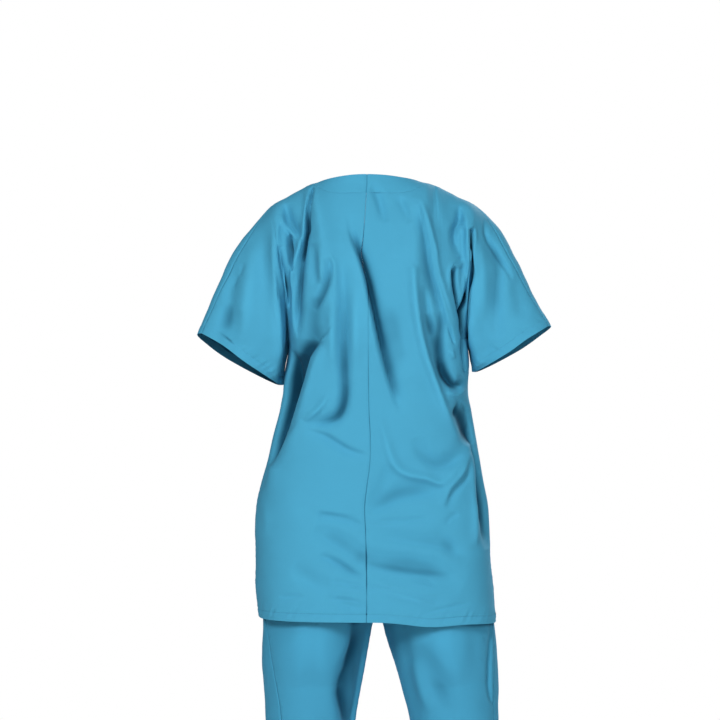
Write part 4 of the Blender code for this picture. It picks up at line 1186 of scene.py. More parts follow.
def run_from(spot, axis, end):
    """How far each of a grid's points is from one of its edges, and how far along it."""
    steps = np.linalg.norm(np.diff(spot, axis=axis), axis=-1)
    start = np.zeros_like(steps.take([0], axis=axis))
    run = np.concatenate([start, np.cumsum(steps, axis=axis)], axis=axis)
    if end:
        run = run.take([-1], axis=axis) - run
    edge = spot.take(-1 if end else 0, axis=axis)
    return run, np.expand_dims(run_along(edge), axis)


def ripples(run, along, slant, seed):
    """Puckers that lean across an edge, of about -1 to 1 and uneven along it."""
    lean = (along + slant * run)[..., None]
    strength = 0.6 + 0.4 * waves(lean, PUCKERS_RISE, seed + 1)
    return waves(lean, PUCKERS, seed) * strength


def hem_relief(run, along, depth, pucker, seed):
    """How far a turned hem moves out: its extra ply, the stitches' groove, the puckers."""
    ply = HEM_PLY * (1 - smooth_step(depth, depth + 1.2 * MM, run))
    groove = GROOVE * bell(run - depth, GROOVE_WIDTH)
    puckers = pucker * ripples(run, along, 0.7, seed) * bell(run - depth, 0.75 * depth)
    return ply - groove + puckers


def seam_relief(run, along, pucker, seed):
    """How far a seam's edge moves out: faint puckers beside it, less the edge's roll in."""
    roll = SEAM_ROLL * bell(run, SEAM_ROLL_WIDTH)
    beside = bell(run - 0.5 * SEAM_PUCKER_REACH, 0.5 * SEAM_PUCKER_REACH)
    puckers = 0.4 * pucker * ripples(run, along, 0.3, seed) * beside
    return puckers * smooth_step(0, MM, run) - roll


def moved_out(grid, relief):
    """The grid with its points this far out of the cloth."""
    return grid._replace(spot=grid.spot - grid.into * relief[..., None])


def seam_painted_shade(run):
    """Painted shade along a seam's crevice, as depth that the twill darkens."""
    return SEAM_SHADE * bell(run, SEAM_SHADE_WIDTH)


def groove_painted_shade(run, depth):
    """The same painted shade along the row of stitches at this depth."""
    return GROOVE_SHADE * bell(run - depth, SEAM_SHADE_WIDTH)


def folded_over(run, depth):
    """Where a hem's turned ply lies: 1 on it, 0 beyond it."""
    return 1 - smooth_step(depth, depth + MM, run)


def dress_top_panel(grid, half, settings):
    """Gives a panel of the top its hems, seams and stitched grooves, with painted shade
    along the seams and grooves, and returns the panel and its wall's thickness."""
    u, v = np.meshgrid(grid.us, grid.vs)
    at = np.abs(u)
    pucker, hem = settings.pucker, settings.hem
    vent_hem = VENT_HEM * hem
    below = v < -SAME
    vent = smooth_step(0.02, 0.12, vent_share(u, grid.spot)) * below

    run, along = run_from(grid.spot, 0, False)
    hemmed = at <= 1
    turned = hem_relief(run, along, hem, pucker, HEM_SEED)
    relief = np.where(
        hemmed, turned, seam_relief(run, along, pucker, UNDER_SLEEVE_SEED)
    )
    ply = hemmed * folded_over(run, hem)
    sunk = grid.sunk + hemmed * groove_painted_shade(run, hem)

    for end in FAR_ENDS[half]:
        run, along = run_from(grid.spot, 1, end)
        here = (u > 0) if end else (u < 0)
        side_hem = hem_relief(run, along, vent_hem, pucker, VENT_SEED + end)
        side = mix(seam_relief(run, along, pucker, SIDE_SEED + end), side_hem, vent)
        cuff = hem_relief(run, along, hem, CUFF_PUCKER * pucker, CUFF_SEED + end)
        relief += np.where(here, np.where(below, side, cuff), 0)
        ply = np.maximum(ply, here * folded_over(run, hem) * np.where(below, vent, 1))
        # Painted shade along the side seam, or along the vent's stitched groove.
        stitched = mix(seam_painted_shade(run), groove_painted_shade(run, vent_hem), vent)
        sunk += here * np.where(below, stitched, groove_painted_shade(run, hem))
    if half:
        run, along = run_from(grid.spot, 1, half < 0)
        relief += seam_relief(run, along, pucker, CENTRE_SEED)
        sunk += seam_painted_shade(run)

    run, along = run_from(grid.spot, 0, True)
    row = np.argmin(np.abs(grid.vs - FACING_V))
    off = run - run[row]
    neck = smooth_step(0, 0.08, FACING_U + 0.04 - at)
    facing = -GROOVE * bell(off, GROOVE_WIDTH)
    facing += 0.6 * pucker * ripples(run, along, 0.4, FACING_SEED) * bell(off, 6 * MM)
    relief += facing * neck
    relief += np.where(at > NECK_U, seam_relief(run, along, pucker, OVERARM_SEED), 0)
    sunk += np.where(at > NECK_U, seam_painted_shade(run), 0) + neck * groove_painted_shade(off, 0)
    grid = moved_out(grid._replace(sunk=sunk), relief)
    return grid, settings.wall + HEM_INNER_PLY * ply


def dress_leg_panel(grid, settings):
    """Gives a leg's panel its hem and seams, with painted shade along the seams and groove
    and a painted shadow under the top's hem, and returns the panel and its wall's thickness."""
    pucker = settings.pucker
    run, along = run_from(grid.spot, 0, True)
    relief = hem_relief(run, along, LEG_HEM, pucker, LEG_HEM_SEED)
    ply = folded_over(run, LEG_HEM)
    x, _, z = np.moveaxis(grid.spot, -1, 0)
    hem = mix(HEM_Z[0], HEM_Z[-1], np.clip(-x / BODY[0].right / MM, 0, 1)) * MM
    sunk = grid.sunk + groove_painted_shade(run, LEG_HEM)
    # Painted shadow of the top's hem on the trousers.
    sunk += HEM_SHADE * bell(z - hem, HEM_SHADE_WIDTH)
    for axis, end, seed in (
        (0, False, WAIST_SEAM_SEED),
        (1, False, OUTER_SEED),
        (1, True, INNER_SEED),
    ):
        run, along = run_from(grid.spot, axis, end)
        relief += seam_relief(run, along, LEG_PUCKER * pucker, seed)
        sunk += seam_painted_shade(run)
    grid = moved_out(grid._replace(sunk=sunk), relief)
    return grid, settings.wall + HEM_INNER_PLY * ply


# ---------------------------------------------------------------- meshes


def add_shell(name, grid, wall, material):
    """A panel: a flat grid of faces moved to the panel's outer points, its unused corner
    cut off, and then thickened inwards. It keeps its flat cut as its UV map."""
    rows, columns = grid.spot.shape[:2]
    wall = np.broadcast_to(wall, (rows, columns))
    steps = [np.linalg.norm(np.diff(grid.spot, axis=axis), axis=-1) for axis in (0, 1)]
    flat_x = np.concatenate([[0], np.cumsum(steps[1].max(axis=0))])
    flat_z = np.concatenate([[0], np.cumsum(np.median(steps[0], axis=1))])
    mesh = bmesh.new()
    flat = mesh.loops.layers.uv.new("cut")
    bmesh.ops.create_grid(mesh, x_segments=columns - 1, y_segments=rows - 1, size=0.5)
    inward = mesh.verts.layers.float_vector.new("inward")
    sunk = mesh.verts.layers.float.new("sunk")
    place = {}
    for vert in mesh.verts:
        column = round((vert.co.x + 0.5) * (columns - 1))
        row = round((vert.co.y + 0.5) * (rows - 1))
        place[vert] = (row, column)
    spare = []
    for face in mesh.faces:
        at = [place[loop.vert] for loop in face.loops]
        if grid.sleeved:
            row = min(row for row, _ in at)
            across = min(abs(grid.us[column]) for _, column in at)
            if grid.vs[row] < -SAME and across > 1 - SAME:
                spare.append(face)
        for loop, (row, column) in zip(face.loops, at):
            loop[flat].uv = (flat_x[column], flat_z[row])
    for vert, (row, column) in place.items():
        vert.co = grid.spot[row, column]
        vert[inward] = grid.into[row, column] * wall[row, column]
        vert[sunk] = grid.sunk[row, column]
    bmesh.ops.delete(mesh, geom=spare, context="FACES")
    bmesh.ops.remove_doubles(mesh, verts=mesh.verts, dist=WELD)
    for edge in mesh.edges:
        edge.smooth = not edge.is_boundary
    outer = list(mesh.faces)
    made = bmesh.ops.extrude_face_region(mesh, geom=outer, use_keep_orig=True)
    for piece in made["geom"]:
        if isinstance(piece, bmesh.types.BMVert):
            piece.co += piece[inward]
            # Painted shade on the inside of the cloth.
            piece[sunk] += INNER_SHADE
    bmesh.ops.recalc_face_normals(mesh, faces=mesh.faces)
    mesh.verts.layers.float_vector.remove(inward)
    return finished(name, mesh, material)


def finished(name, mesh, material):
    """The piece that a bmesh becomes, which rides the one body."""
    data = bpy.data.meshes.new(name)
    mesh.to_mesh(data)
    mesh.free()
    data.shade_smooth()
    data.materials.append(material)
    piece = bpy.data.objects.new(name, data)
    bpy.context.scene.collection.objects.link(piece)
    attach(piece, "root")
    return piece


def inset_line(grid, axis, end, depth, lanes):
    """The line this far in from one of a grid's edges, and the ways out of the cloth."""
    spot = np.moveaxis(grid.spot, axis, 0)[:, lanes]
    into = np.moveaxis(grid.into, axis, 0)[:, lanes]
    if end:
        spot, into = spot[::-1], into[::-1]
    steps = np.linalg.norm(np.diff(spot, axis=0), axis=-1)
    run = np.concatenate([np.zeros((1, steps.shape[1])), np.cumsum(steps, axis=0)])
    after = np.clip((run < depth).sum(axis=0), 1, len(run) - 1)
    lane = np.arange(run.shape[1])
    low, high = run[after - 1, lane], run[after, lane]
    share = np.clip((depth - low) / np.maximum(high - low, TINY), 0, 1)[:, None]
    line = mix(spot[after - 1, lane], spot[after, lane], share)
    return line, -unit(mix(into[after - 1, lane], into[after, lane], share))


def sew(stitches, line, out, settings, pitch=None, slant=0.0):
    """Adds a row of stitches along a line on the cloth to a list of their places."""
    pitch = pitch or settings.pitch
    run = run_along(line)
    keep = np.concatenate([[True], np.diff(run) > TINY])
    run, line, out = run[keep], line[keep], out[keep]

    def on(values, at):
        return np.stack([np.interp(at, run, part) for part in values.T], axis=-1)

    half = settings.stitch / 2 * min(1, pitch / settings.pitch)
    radius = settings.thread / 2
    at = np.arange(pitch / 2, run[-1] - pitch / 3, pitch)
    along = unit(on(line, at + half) - on(line, at - half))
    side = unit(np.cross(unit(on(out, at)), along))
    along = unit(along + slant * side)
    up = unit(np.cross(along, side))
    side = np.cross(up, along)
    centre = on(line, at) + up * radius * 0.5
    placed = (side * radius, up * radius, along * half, centre)
    stitches.extend(np.stack(placed, axis=1))


def bar_tack(stitches, centre, along, out, length, settings):
    """A short, dense block of stitches across the end of an opening."""
    side = unit(np.cross(out, along))
    outs = np.stack([out, out])
    for i in range(TACK_COUNT):
        at = centre + along * length * (i / (TACK_COUNT - 1) - 0.5)
        ends = np.stack([at - side * TACK_HALF, at + side * TACK_HALF])
        sew(stitches, ends + out * TACK_PROUD, outs, settings, TACK_PITCH, TACK_SLANT)


def add_stitching(name, stitches, settings):
    """One piece of thread: a spindle for each stitch, placed and turned along its row."""
    mesh = bmesh.new()
    bmesh.ops.create_icosphere(mesh, subdivisions=1, radius=1)
    spindle = np.array([vert.co for vert in mesh.verts])
    while len(mesh.verts) < len(spindle) * len(stitches):
        bmesh.ops.duplicate(mesh, geom=[*mesh.verts, *mesh.edges, *mesh.faces])
    mesh.verts.ensure_lookup_table()
    spare = mesh.verts[len(spindle) * len(stitches) :]
    bmesh.ops.delete(mesh, geom=spare, context="VERTS")
    axes = np.array(stitches)
    placed = np.einsum("vi,sij->svj", spindle, axes[:, :3]) + axes[:, None, 3]
    for vert, place in zip(mesh.verts, placed.reshape(-1, 3)):
        vert.co = place
    piece = finished(name, mesh, thread_for(settings))
    return piece


# ---------------------------------------------------------------- materials


class Shade:
    """A number that varies over a surface. An expression on it adds its Math nodes."""

    def __init__(self, finish, socket):
        self.finish = finish
        self.socket = socket

    def worked(self, operation, first, second):
        sockets = {0: first, 1: second}
        return self.finish.value("ShaderNodeMath", {"operation": operation}, sockets)

    def __add__(self, other):
        return self.worked("ADD", self, other)

    def __radd__(self, other):
        return self.worked("ADD", other, self)

    def __sub__(self, other):
        return self.worked("SUBTRACT", self, other)

    def __rsub__(self, other):
        return self.worked("SUBTRACT", other, self)

    def __mul__(self, other):
        return self.worked("MULTIPLY", self, other)

    def __rmul__(self, other):
        return self.worked("MULTIPLY", other, self)


class Nodes:
    """A tree of shader nodes and what is added to it."""

    def __init__(self, tree):
        self.tree = tree

    def add(self, kind, settings=None, sockets=None):
        """Adds a node: its settings first, then the values or links of its sockets."""
        node = self.tree.nodes.new(kind)
        for name, value in (settings or {}).items():
            setattr(node, name, value)
        for name, value in (sockets or {}).items():
            self.feed(node.inputs[name], value)
        return node

    def feed(self, socket, value):
        if isinstance(value, Shade):
            value = value.socket
        if isinstance(value, bpy.types.NodeSocket):
            self.tree.links.new(value, socket)
        else:
            socket.default_value = value


class Finish(Nodes):
    """A material with the nodes of its surface."""

    def __init__(self, name):
        self.material = bpy.data.materials.new(name)
        self.material.use_nodes = True
        super().__init__(self.material.node_tree)
        self.shader = self.tree.nodes["Principled BSDF"]

    def value(self, kind, settings=None, sockets=None, output=0):
        return Shade(self, self.add(kind, settings, sockets).outputs[output])

    def noise(self, vector, scale, detail=2.0, roughness=0.5):
        sockets = {"Vector": vector, "Scale": scale}
        sockets |= {"Detail": detail, "Roughness": roughness}
        return self.value("ShaderNodeTexNoise", {}, sockets, "Fac")

    def scaled(self, vector, scale, turn=0.0):
        sockets = {"Vector": vector, "Scale": scale, "Rotation": (0.0, 0.0, turn)}
        return self.add("ShaderNodeMapping", {}, sockets).outputs[0]

    def blend(self, factor, first, second):
        settings = {"data_type": "RGBA", "blend_type": "MIX", "clamp_factor": True}
        node = self.add("ShaderNodeMix", settings, {0: factor})
        self.feed(node.inputs[6], first)
        self.feed(node.inputs[7], second)
        return node.outputs[2]

    def clamped(self, value, low, high):
        """A smooth rise from 0 at low to 1 at high."""
        sockets = {"Value": value, "From Min": low, "From Max": high}
        settings = {"interpolation_type": "SMOOTHSTEP"}
        return self.value("ShaderNodeMapRange", settings, sockets)


def solid(colour, share):
    """This share of a colour, opaque."""
    return tuple(min(1.0, part * share) for part in colour) + (1.0,)


# Painted shade: how much of each colour is left deep in a fold, seam or groove and on the
# inside, standing in for light gone from cloth to cloth, and the depths between which it
# darkens. Painted highlight: the heights between which a raised ridge is lightened.
PAINTED_SHADE_TINT = (0.07, 0.18, 0.23)
PAINTED_SHADE_DEPTHS = (4 * MM, 18 * MM)
PAINTED_HIGHLIGHT_HEIGHTS = (2 * MM, 8 * MM)
# The ribs' slope in degrees. A wave of this scale has one band a unit.
RIB_TURN, ONE_BAND = 63, 0.314
# The noises' scales a metre: across a yarn, along it, the nap, the tone and thread's ply.
YARN, YARN_LENGTH, NAP, TONE, PLY = 900.0, 60.0, 420.0, 7.0, 2600.0


def twill(name, colour, weave):
    """Fine poly-cotton twill: diagonal ribs and uneven yarn, with painted shade in folds,
    seams and grooves and a painted highlight on ridges.
    """
    finish = Finish(name)
    place = finish.add("ShaderNodeTexCoord").outputs["Object"]
    cut = finish.add("ShaderNodeUVMap", {"uv_map": "cut"}).outputs[0]
    ribs_at = finish.scaled(cut, (1 / weave,) * 3, math.radians(RIB_TURN))
    settings = {"wave_type": "BANDS", "bands_direction": "X", "wave_profile": "SIN"}
    sockets = {"Vector": ribs_at, "Scale": ONE_BAND, "Distortion": 0.6, "Detail": 1.0}
    ribs = finish.value("ShaderNodeTexWave", settings, sockets, "Fac")
    yarn_along = finish.scaled(cut, (YARN, YARN_LENGTH, YARN_LENGTH))
    yarn_across = finish.scaled(cut, (YARN_LENGTH, YARN, YARN_LENGTH))
    yarn = finish.noise(yarn_along, 1.0) * 0.5 + finish.noise(yarn_across, 1.0) * 0.5
    nap = finish.noise(place, NAP, 3.0, 0.6)
    tone = finish.noise(place, TONE, 3.0, 0.55)
    # Depth in a fold, seam or groove, or on the inside, read for the painted shade and
    # highlight.
    sunk = finish.value("ShaderNodeAttribute", {"attribute_name": "sunk"}, {}, "Fac")
    deep = finish.clamped(sunk, *PAINTED_SHADE_DEPTHS)
    high = finish.clamped(0.0 - sunk, *PAINTED_HIGHLIGHT_HEIGHTS)

    light = 0.35 * tone + 0.25 * yarn + 0.2 * ribs + 0.2 * nap
    base = finish.blend(light, solid(colour, 0.90), solid(colour, 1.10))
    # Painted highlight: raised ridges lightened.
    base = finish.blend(high * 0.6, base, solid(colour, 1.16))
    # Painted shade: deep in folds, seams and grooves and on the inside, darker and bluer.
    painted_shade_colour = tuple(part * share for part, share in zip(colour, PAINTED_SHADE_TINT)) + (1.0,)
    base = finish.blend(deep * 0.95, base, painted_shade_colour)
    finish.feed(finish.shader.inputs["Base Color"], base)
    rough = 0.74 + 0.10 * nap + 0.06 * (1 - ribs)
    finish.feed(finish.shader.inputs["Roughness"], rough)
    height = 0.45 * ribs + 0.30 * yarn + 0.25 * nap
    sockets = {"Height": height, "Strength": 0.28, "Distance": 0.00025}
    bump = finish.add("ShaderNodeBump", {}, sockets)
    finish.feed(finish.shader.inputs["Normal"], bump.outputs[0])
    finish.feed(finish.shader.inputs["Sheen Weight"], 0.01)
    finish.feed(finish.shader.inputs["Sheen Roughness"], 0.45)
    finish.feed(finish.shader.inputs["Specular IOR Level"], 0.10)
    return finish.material


def spun_thread(name, colour):
    """Sewing thread: two plies twisted round each other."""
    finish = Finish(name)
    place = finish.add("ShaderNodeTexCoord").outputs["Object"]
    ply = finish.noise(finish.scaled(place, (PLY, PLY, PLY)), 1.0, 1.0)
    base = finish.blend(ply, solid(colour, 0.86), solid(colour, 1.14))
    finish.feed(finish.shader.inputs["Base Color"], base)
    finish.feed(finish.shader.inputs["Roughness"], 0.55 + 0.15 * ply)
    sockets = {"Height": ply, "Strength": 0.3, "Distance": 0.0001}
    bump = finish.add("ShaderNodeBump", {}, sockets)
    finish.feed(finish.shader.inputs["Normal"], bump.outputs[0])
    return finish.material


def kept_material(name, make, *values):
    """The material of this name, made at its first use."""
    return bpy.data.materials.get(name) or make(name, *values)


def cloth_for(slot, settings):
    """The twill of one of the three slots."""
    colours = {
        "cloth": settings.cloth,
        "facing": settings.inside,
        "trouser_cloth": settings.trousers,
    }
    return kept_material(f"{slot}_twill", twill, tuple(colours[slot]), settings.weave)


def thread_for(settings):
    return kept_material("sewing_thread", spun_thread, tuple(settings.thread_colour))


def matte(name, colour):
    """Even matt paint."""
    finish = Finish(name)
    place = finish.add("ShaderNodeTexCoord").outputs["Object"]
    grain = finish.noise(place, 3.0, 2.0)
    base = finish.blend(grain, solid(colour, 0.985), solid(colour, 1.0))
    finish.feed(finish.shader.inputs["Base Color"], base)
    finish.feed(finish.shader.inputs["Roughness"], 0.9)
    finish.feed(finish.shader.inputs["Specular IOR Level"], 0.1)
    return finish.material


# ---------------------------------------------------------------- operators


class PieceOperator:
    """What the operators share."""

    bl_options = {"REGISTER", "UNDO"}

    def execute(self, context):
        self.make(context.scene.scrubs)
        return {"FINISHED"}


def top_stitching(name, grid, half, settings):
    """The stitches of a top panel's hem, vents, cuffs and neck facing."""
    stitches = []
    body = np.flatnonzero(np.abs(grid.us) <= 1 + SAME)
    sew(stitches, *inset_line(grid, 0, False, settings.hem, body), settings)
    upper = np.flatnonzero(grid.vs > -SAME)
    low = np.flatnonzero(grid.vs < -1 + (HEM_VENT + VENT_SEWN_ON) / (BODY_RUN * MM))
    for end in FAR_ENDS[half]:
        sew(stitches, *inset_line(grid, 1, end, settings.hem, upper), settings)
        sew(stitches, *inset_line(grid, 1, end, VENT_HEM * settings.hem, low), settings)
        side = 1 if end else -1
        column = int(np.argmin(np.abs(grid.us - side)))
        inner = column - side * VENT_TACK_COLUMNS
        row = low[-1]
        across = unit(grid.spot[row, inner] - grid.spot[row, column])
        out = -unit(grid.into[row, inner])
        centre = grid.spot[row, column] + across * VENT_TACK_IN
        bar_tack(stitches, centre, across, out, VENT_TACK, settings)
    row = int(np.argmin(np.abs(grid.vs - FACING_V)))
    neck = np.flatnonzero(np.abs(grid.us) <= FACING_U + FACING_SEWN_ON)
    sew(stitches, grid.spot[row, neck], -grid.into[row, neck], settings)
    return add_stitching(name, stitches, settings)


class SCRUBS_OT_add_backs(PieceOperator, bpy.types.Operator):
    """Add the two back panels, each cut in one with its sleeve"""

    bl_idname = "scrubs.add_backs"
    bl_label = "Back panels"

    def make(self, settings):
        for half, word in ((1, "left"), (-1, "right")):
            plain = top_grid("back", half, BACK_STEP, *worn(settings))
            grid, wall = dress_top_panel(plain, half, settings)
            material = cloth_for("cloth", settings)
            panel = add_shell(f"back_{word}_panel", grid, wall, material)
            stitches = top_stitching(f"back_{word}_stitching", grid, half, settings)
            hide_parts(f"back_{word}")


class SCRUBS_OT_add_front(PieceOperator, bpy.types.Operator):
    """Add the front panel, cut in one with both sleeves"""

    bl_idname = "scrubs.add_front"
    bl_label = "Front panel"

    def make(self, settings):
        plain = top_grid("front", 0, FRONT_STEP, *worn(settings))
        grid, wall = dress_top_panel(plain, 0, settings)
        panel = add_shell("front_panel", grid, wall, cloth_for("cloth", settings))
        stitches = top_stitching("front_stitching", grid, 0, settings)
        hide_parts("front")


class SCRUBS_OT_add_facings(PieceOperator, bpy.types.Operator):
    """Add the facings inside the neck opening"""

    bl_idname = "scrubs.add_facings"
    bl_label = "Neck facings"

    def make(self, settings):
        for face in ("back", "front"):
            step = BACK_STEP if face == "back" else FRONT_STEP
            whole = top_grid(face, 0, step, *worn(settings))
            columns = np.flatnonzero(np.abs(whole.us) <= FACING_U)
            rows = np.flatnonzero(whole.vs >= FACING_V - FACING_TUCK)
            part = np.ix_(rows, columns)
            into, sunk = whole.into[part], whole.sunk[part]
            spot = whole.spot[part] + into * (settings.wall + FACING_GAP)
            grid = Grid(whole.us[columns], whole.vs[rows], spot, into, sunk, False)
            material = cloth_for("facing", settings)
            piece = add_shell(f"neck_facing_{face}_band", grid, FACING_WALL, material)
            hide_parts(f"neck_facing_{face}")


def pocket_grid(side, settings):
    """One pocket's grid, which stands off the front, and its wall's thickness."""
    us = shares(POCKET_RUN, POCKET_STEP, NEAR_SEAM, NEAR_SEAM)
    vs = shares(POCKET_DEPTH, POCKET_STEP, NEAR_SEAM, NEAR_HEM)
    a, b = np.meshgrid(us, vs)
    aside = np.abs(2 * a - 1) - (1 - POCKET_CORNER_WIDTH)
    corner = np.clip(aside / POCKET_CORNER_WIDTH, 0, 1) ** 2
    u = side * mix(*POCKET_U, a if side > 0 else 1 - a)
    v = mix(POCKET_V[0] + POCKET_CORNER * corner, POCKET_V[1], b)
    plain = top_place("front", 0, u, v, *worn(settings))
    middle = np.sin(np.pi * a)
    edge = np.minimum(np.minimum(a, 1 - a) * POCKET_RUN, b * POCKET_DEPTH) * MM
    run, along = run_from(plain.spot, 0, True)
    relief = settings.wall + HEM_PLY + POCKET_GAP
    relief = relief + POCKET_EASE * middle * b**3 + POCKET_FULLNESS * middle
    relief -= GROOVE * bell(edge - POCKET_STITCH, 0.8 * MM)
    relief += hem_relief(run, along, POCKET_HEM, settings.pucker, POCKET_HEM_SEED)
    puckers = ripples(edge, along, 0.5, POCKET_EDGE_SEED) * bell(edge, 6 * MM)
    relief += 0.5 * settings.pucker * puckers
    grid = moved_out(plain._replace(us=us, vs=vs), relief)
    return grid, settings.wall + HEM_PLY * folded_over(run, POCKET_HEM)


def pocket_stitching(name, grid, settings):
    """The stitches of a pocket's edge and hem, with a bar tack at each upper corner."""
    stitches = []
    rows = np.arange(POCKET_LINE, len(grid.vs))
    lanes = np.arange(POCKET_LINE, len(grid.us) - POCKET_LINE)
    for end in (False, True):
        sew(stitches, *inset_line(grid, 1, end, POCKET_STITCH, rows), settings)
        lane = lanes[-1] if end else lanes[0]
        centre, out = grid.spot[-2, lane], -grid.into[-2, lane]
        way = unit(grid.spot[-2, lane - 2] - centre)
        bar_tack(stitches, centre, way, out, POCKET_TACK, settings)
    sew(stitches, *inset_line(grid, 0, False, POCKET_STITCH, lanes), settings)
    sew(stitches, *inset_line(grid, 0, True, POCKET_HEM, lanes), settings)
    return add_stitching(name, stitches, settings)


class SCRUBS_OT_add_pockets(PieceOperator, bpy.types.Operator):
    """Add the two patch pockets on the front"""

    bl_idname = "scrubs.add_pockets"
    bl_label = "Pockets"

    def make(self, settings):
        for side, word in ((1, "left"), (-1, "right")):
            grid, wall = pocket_grid(side, settings)
            material = cloth_for("cloth", settings)
            pocket = add_shell(f"pocket_{word}_patch", grid, wall, material)
            thread = pocket_stitching(f"pocket_{word}_stitching", grid, settings)
            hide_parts(f"pocket_{word}")


class SCRUBS_OT_add_trousers(PieceOperator, bpy.types.Operator):
    """Add the trousers' four panels"""

    bl_idname = "scrubs.add_trousers"
    bl_label = "Trouser panels"

    def make(self, settings):
        for face, side, width in (
            ("back", 1, 0.21),
            ("back", -1, 0.22),
            ("front", 1, 0.27),
            ("front", -1, 0.26),
        ):
            word = "left" if side > 0 else "right"
            step = LEG_BACK_STEP if face == "back" else LEG_FRONT_STEP
            plain = leg_grid(face, side, step, *worn(settings))
            grid, wall = dress_leg_panel(plain, settings)
            name = f"trouser_{face}_{word}"
            material = cloth_for("trouser_cloth", settings)
            panel = add_shell(f"{name}_panel", grid, wall, material)
            stitches = []
            lanes = np.arange(len(grid.us))
            sew(stitches, *inset_line(grid, 0, True, LEG_HEM, lanes), settings)
            thread_name = f"{name}_stitching"
            thread = add_stitching(thread_name, stitches, settings)
            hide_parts(name)


class SCRUBS_OT_add_waistband(PieceOperator, bpy.types.Operator):
    """Add the elasticated waistband"""

    bl_idname = "scrubs.add_waistband"
    bl_label = "Waistband"

    def make(self, settings):
        grid = band_grid(*worn(settings))
        run, along = run_from(grid.spot, 0, False)
        band = run[-1].mean()
        between = np.sin(np.pi * np.clip(run / band, 0, 1)) ** 0.5
        gathers = CASING_GATHER * ripples(run, along, 0.0, CASING_SEED) * between
        grooves = GROOVE * sum(bell(run - row, GROOVE_WIDTH) for row in CASING_ROWS)
        grid = moved_out(grid, gathers - grooves)
        material = cloth_for("trouser_cloth", settings)
        wall = settings.wall + CASING_PLY
        piece = add_shell("waistband_band", grid, wall, material)
        stitches = []
        lanes = np.arange(len(grid.us))
        for row in CASING_ROWS:
            sew(stitches, *inset_line(grid, 0, False, row, lanes), settings)
        thread_name = "waistband_stitching"
        thread = add_stitching(thread_name, stitches, settings)
        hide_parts("waistband")


# The studio, in metres: a level camera this far behind the wearer, its lens in millimetres,
# and the floor under the feet.
VIEW_X, VIEW_Z, VIEW_AWAY, VIEW_LENS = 0.021, -0.2784, 4.0, 125
FLOOR_Z, FLOOR_RADIUS, FLOOR_SIDES = -1.412, 3.6, 96
FLOOR_COLOUR = (0.92, 0.92, 0.92)

# What the camera sees behind the scrubs, and the faint light that comes from all round.
BACKDROP_COLOUR, BACKDROP = (1, 1, 1, 1), 1.0
FILL_COLOUR, FILL = (0.80, 0.97, 1.10, 1), 0.11

# Large soft lights: where each stands, its width and height, and its power. They all face
# the same point.
LIT_POINT = (0, 0, -0.35)
Softbox = namedtuple("Softbox", "name place size power")
SOFTBOXES = (
    Softbox("key_softbox", (1.25, 3.8, 1.65), (1.2, 1.2), 132),
    Softbox("fill_softbox", (-2.0, 3.5, 0.4), (1.4, 2.0), 40),
    Softbox("top_softbox", (0.0, 2.6, 2.6), (1.4, 1.0), 14),
    Softbox("front_softbox", (-1.6, -3.4, 1.4), (2.0, 2.0), 150),
)


def studio_floor():
    """The pale disc under the scrubs."""
    mesh = bmesh.new()
    bmesh.ops.create_circle(
        mesh, cap_ends=True, segments=FLOOR_SIDES, radius=FLOOR_RADIUS
    )
    bmesh.ops.translate(mesh, verts=mesh.verts, vec=(0, 0, FLOOR_Z))
    data = bpy.data.meshes.new("studio_floor")
    mesh.to_mesh(data)
    mesh.free()
    data.materials.append(matte("studio_floor_paint", FLOOR_COLOUR))
    floor = bpy.data.objects.new("studio_floor", data)
    bpy.context.scene.collection.objects.link(floor)
    return floor


def studio_world():
    """The backdrop, which only the camera sees, and the faint light all round."""
    world = bpy.data.worlds.new("studio_world")
    world.use_nodes = True
    studio = Nodes(world.node_tree)
    shown = studio.tree.nodes["Background"]
    studio.feed(shown.inputs["Color"], BACKDROP_COLOUR)
    studio.feed(shown.inputs["Strength"], BACKDROP)
    sockets = {"Color": FILL_COLOUR, "Strength": FILL}
    fill = studio.add("ShaderNodeBackground", {}, sockets)
    seen = studio.add("ShaderNodeLightPath").outputs["Is Camera Ray"]
    sockets = {0: seen, 1: fill.outputs[0], 2: shown.outputs[0]}
    either = studio.add("ShaderNodeMixShader", {}, sockets)
    studio.feed(studio.tree.nodes["World Output"].inputs[0], either.outputs[0])
    return world


def stand(thing, place, aim):
    """Puts a light or a camera in its place, and turns it to face along aim."""
    thing.location = place
    thing.rotation_euler = aim.to_track_quat("-Z", "Y").to_euler()
    bpy.context.scene.collection.objects.link(thing)


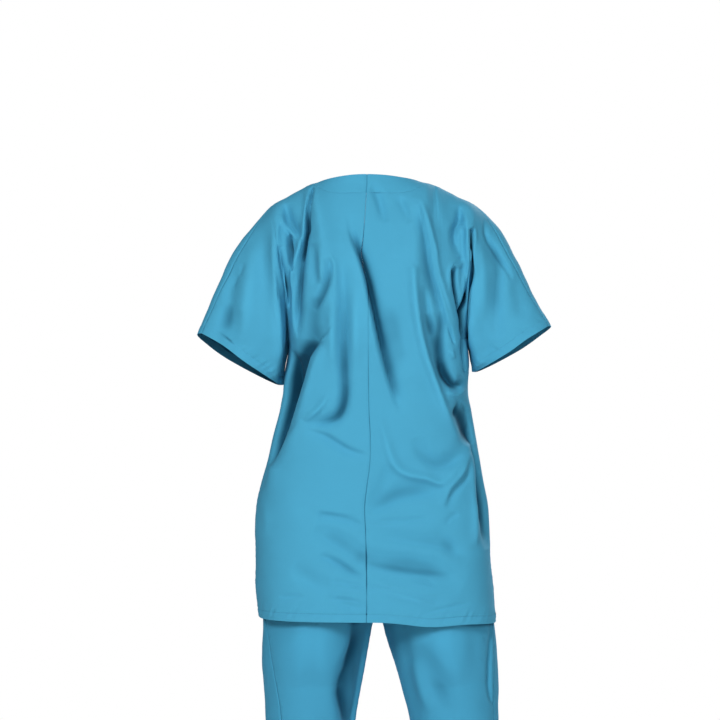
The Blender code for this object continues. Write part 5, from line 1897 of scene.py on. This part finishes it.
class SCRUBS_OT_add_stage(PieceOperator, bpy.types.Operator):
    """Add the pale floor, the soft lights and the camera"""

    bl_idname = "scrubs.add_stage"
    bl_label = "Stage"

    def make(self, settings):
        floor = studio_floor()
        for box in SOFTBOXES:
            light = bpy.data.lights.new(box.name, "AREA")
            light.shape = "RECTANGLE"
            light.size, light.size_y = box.size
            light.energy = box.power
            lamp = bpy.data.objects.new(box.name, light)
            stand(lamp, box.place, Vector(LIT_POINT) - Vector(box.place))
        bpy.context.scene.world = studio_world()
        bpy.context.scene.view_settings.view_transform = "Standard"
        lens = bpy.data.cameras.new("camera")
        lens.lens = VIEW_LENS
        camera = bpy.data.objects.new("camera", lens)
        stand(camera, (VIEW_X, VIEW_AWAY, VIEW_Z), Vector((0, -1, 0)))
        bpy.context.scene.camera = camera


OPERATORS = (
    SCRUBS_OT_add_backs,
    SCRUBS_OT_add_front,
    SCRUBS_OT_add_facings,
    SCRUBS_OT_add_pockets,
    SCRUBS_OT_add_trousers,
    SCRUBS_OT_add_waistband,
    SCRUBS_OT_add_stage,
)


class SCRUBS_PT_sidebar(bpy.types.Panel):
    """Sizes, colours and pieces of the scrubs"""

    bl_idname = "SCRUBS_PT_sidebar"
    bl_label = "Medical scrubs"
    bl_space_type = "VIEW_3D"
    bl_region_type = "UI"
    bl_category = "Scrubs"

    def draw(self, context):
        for name in ScrubsSettings.__annotations__:
            self.layout.prop(context.scene.scrubs, name)
        for operator in OPERATORS:
            self.layout.operator(operator.bl_idname)


CLASSES = (ScrubsSettings, *OPERATORS, SCRUBS_PT_sidebar)


def register():
    for kind in CLASSES:
        bpy.utils.register_class(kind)
    bpy.types.Scene.scrubs = PointerProperty(type=ScrubsSettings)


def unregister():
    del bpy.types.Scene.scrubs
    for kind in reversed(CLASSES):
        bpy.utils.unregister_class(kind)


def main():
    register()
    bpy.ops.scrubs.add_backs()
    bpy.ops.scrubs.add_front()
    bpy.ops.scrubs.add_facings()
    bpy.ops.scrubs.add_pockets()
    bpy.ops.scrubs.add_trousers()
    bpy.ops.scrubs.add_waistband()
    bpy.ops.scrubs.add_stage()


if __name__ == "__main__":
    main()
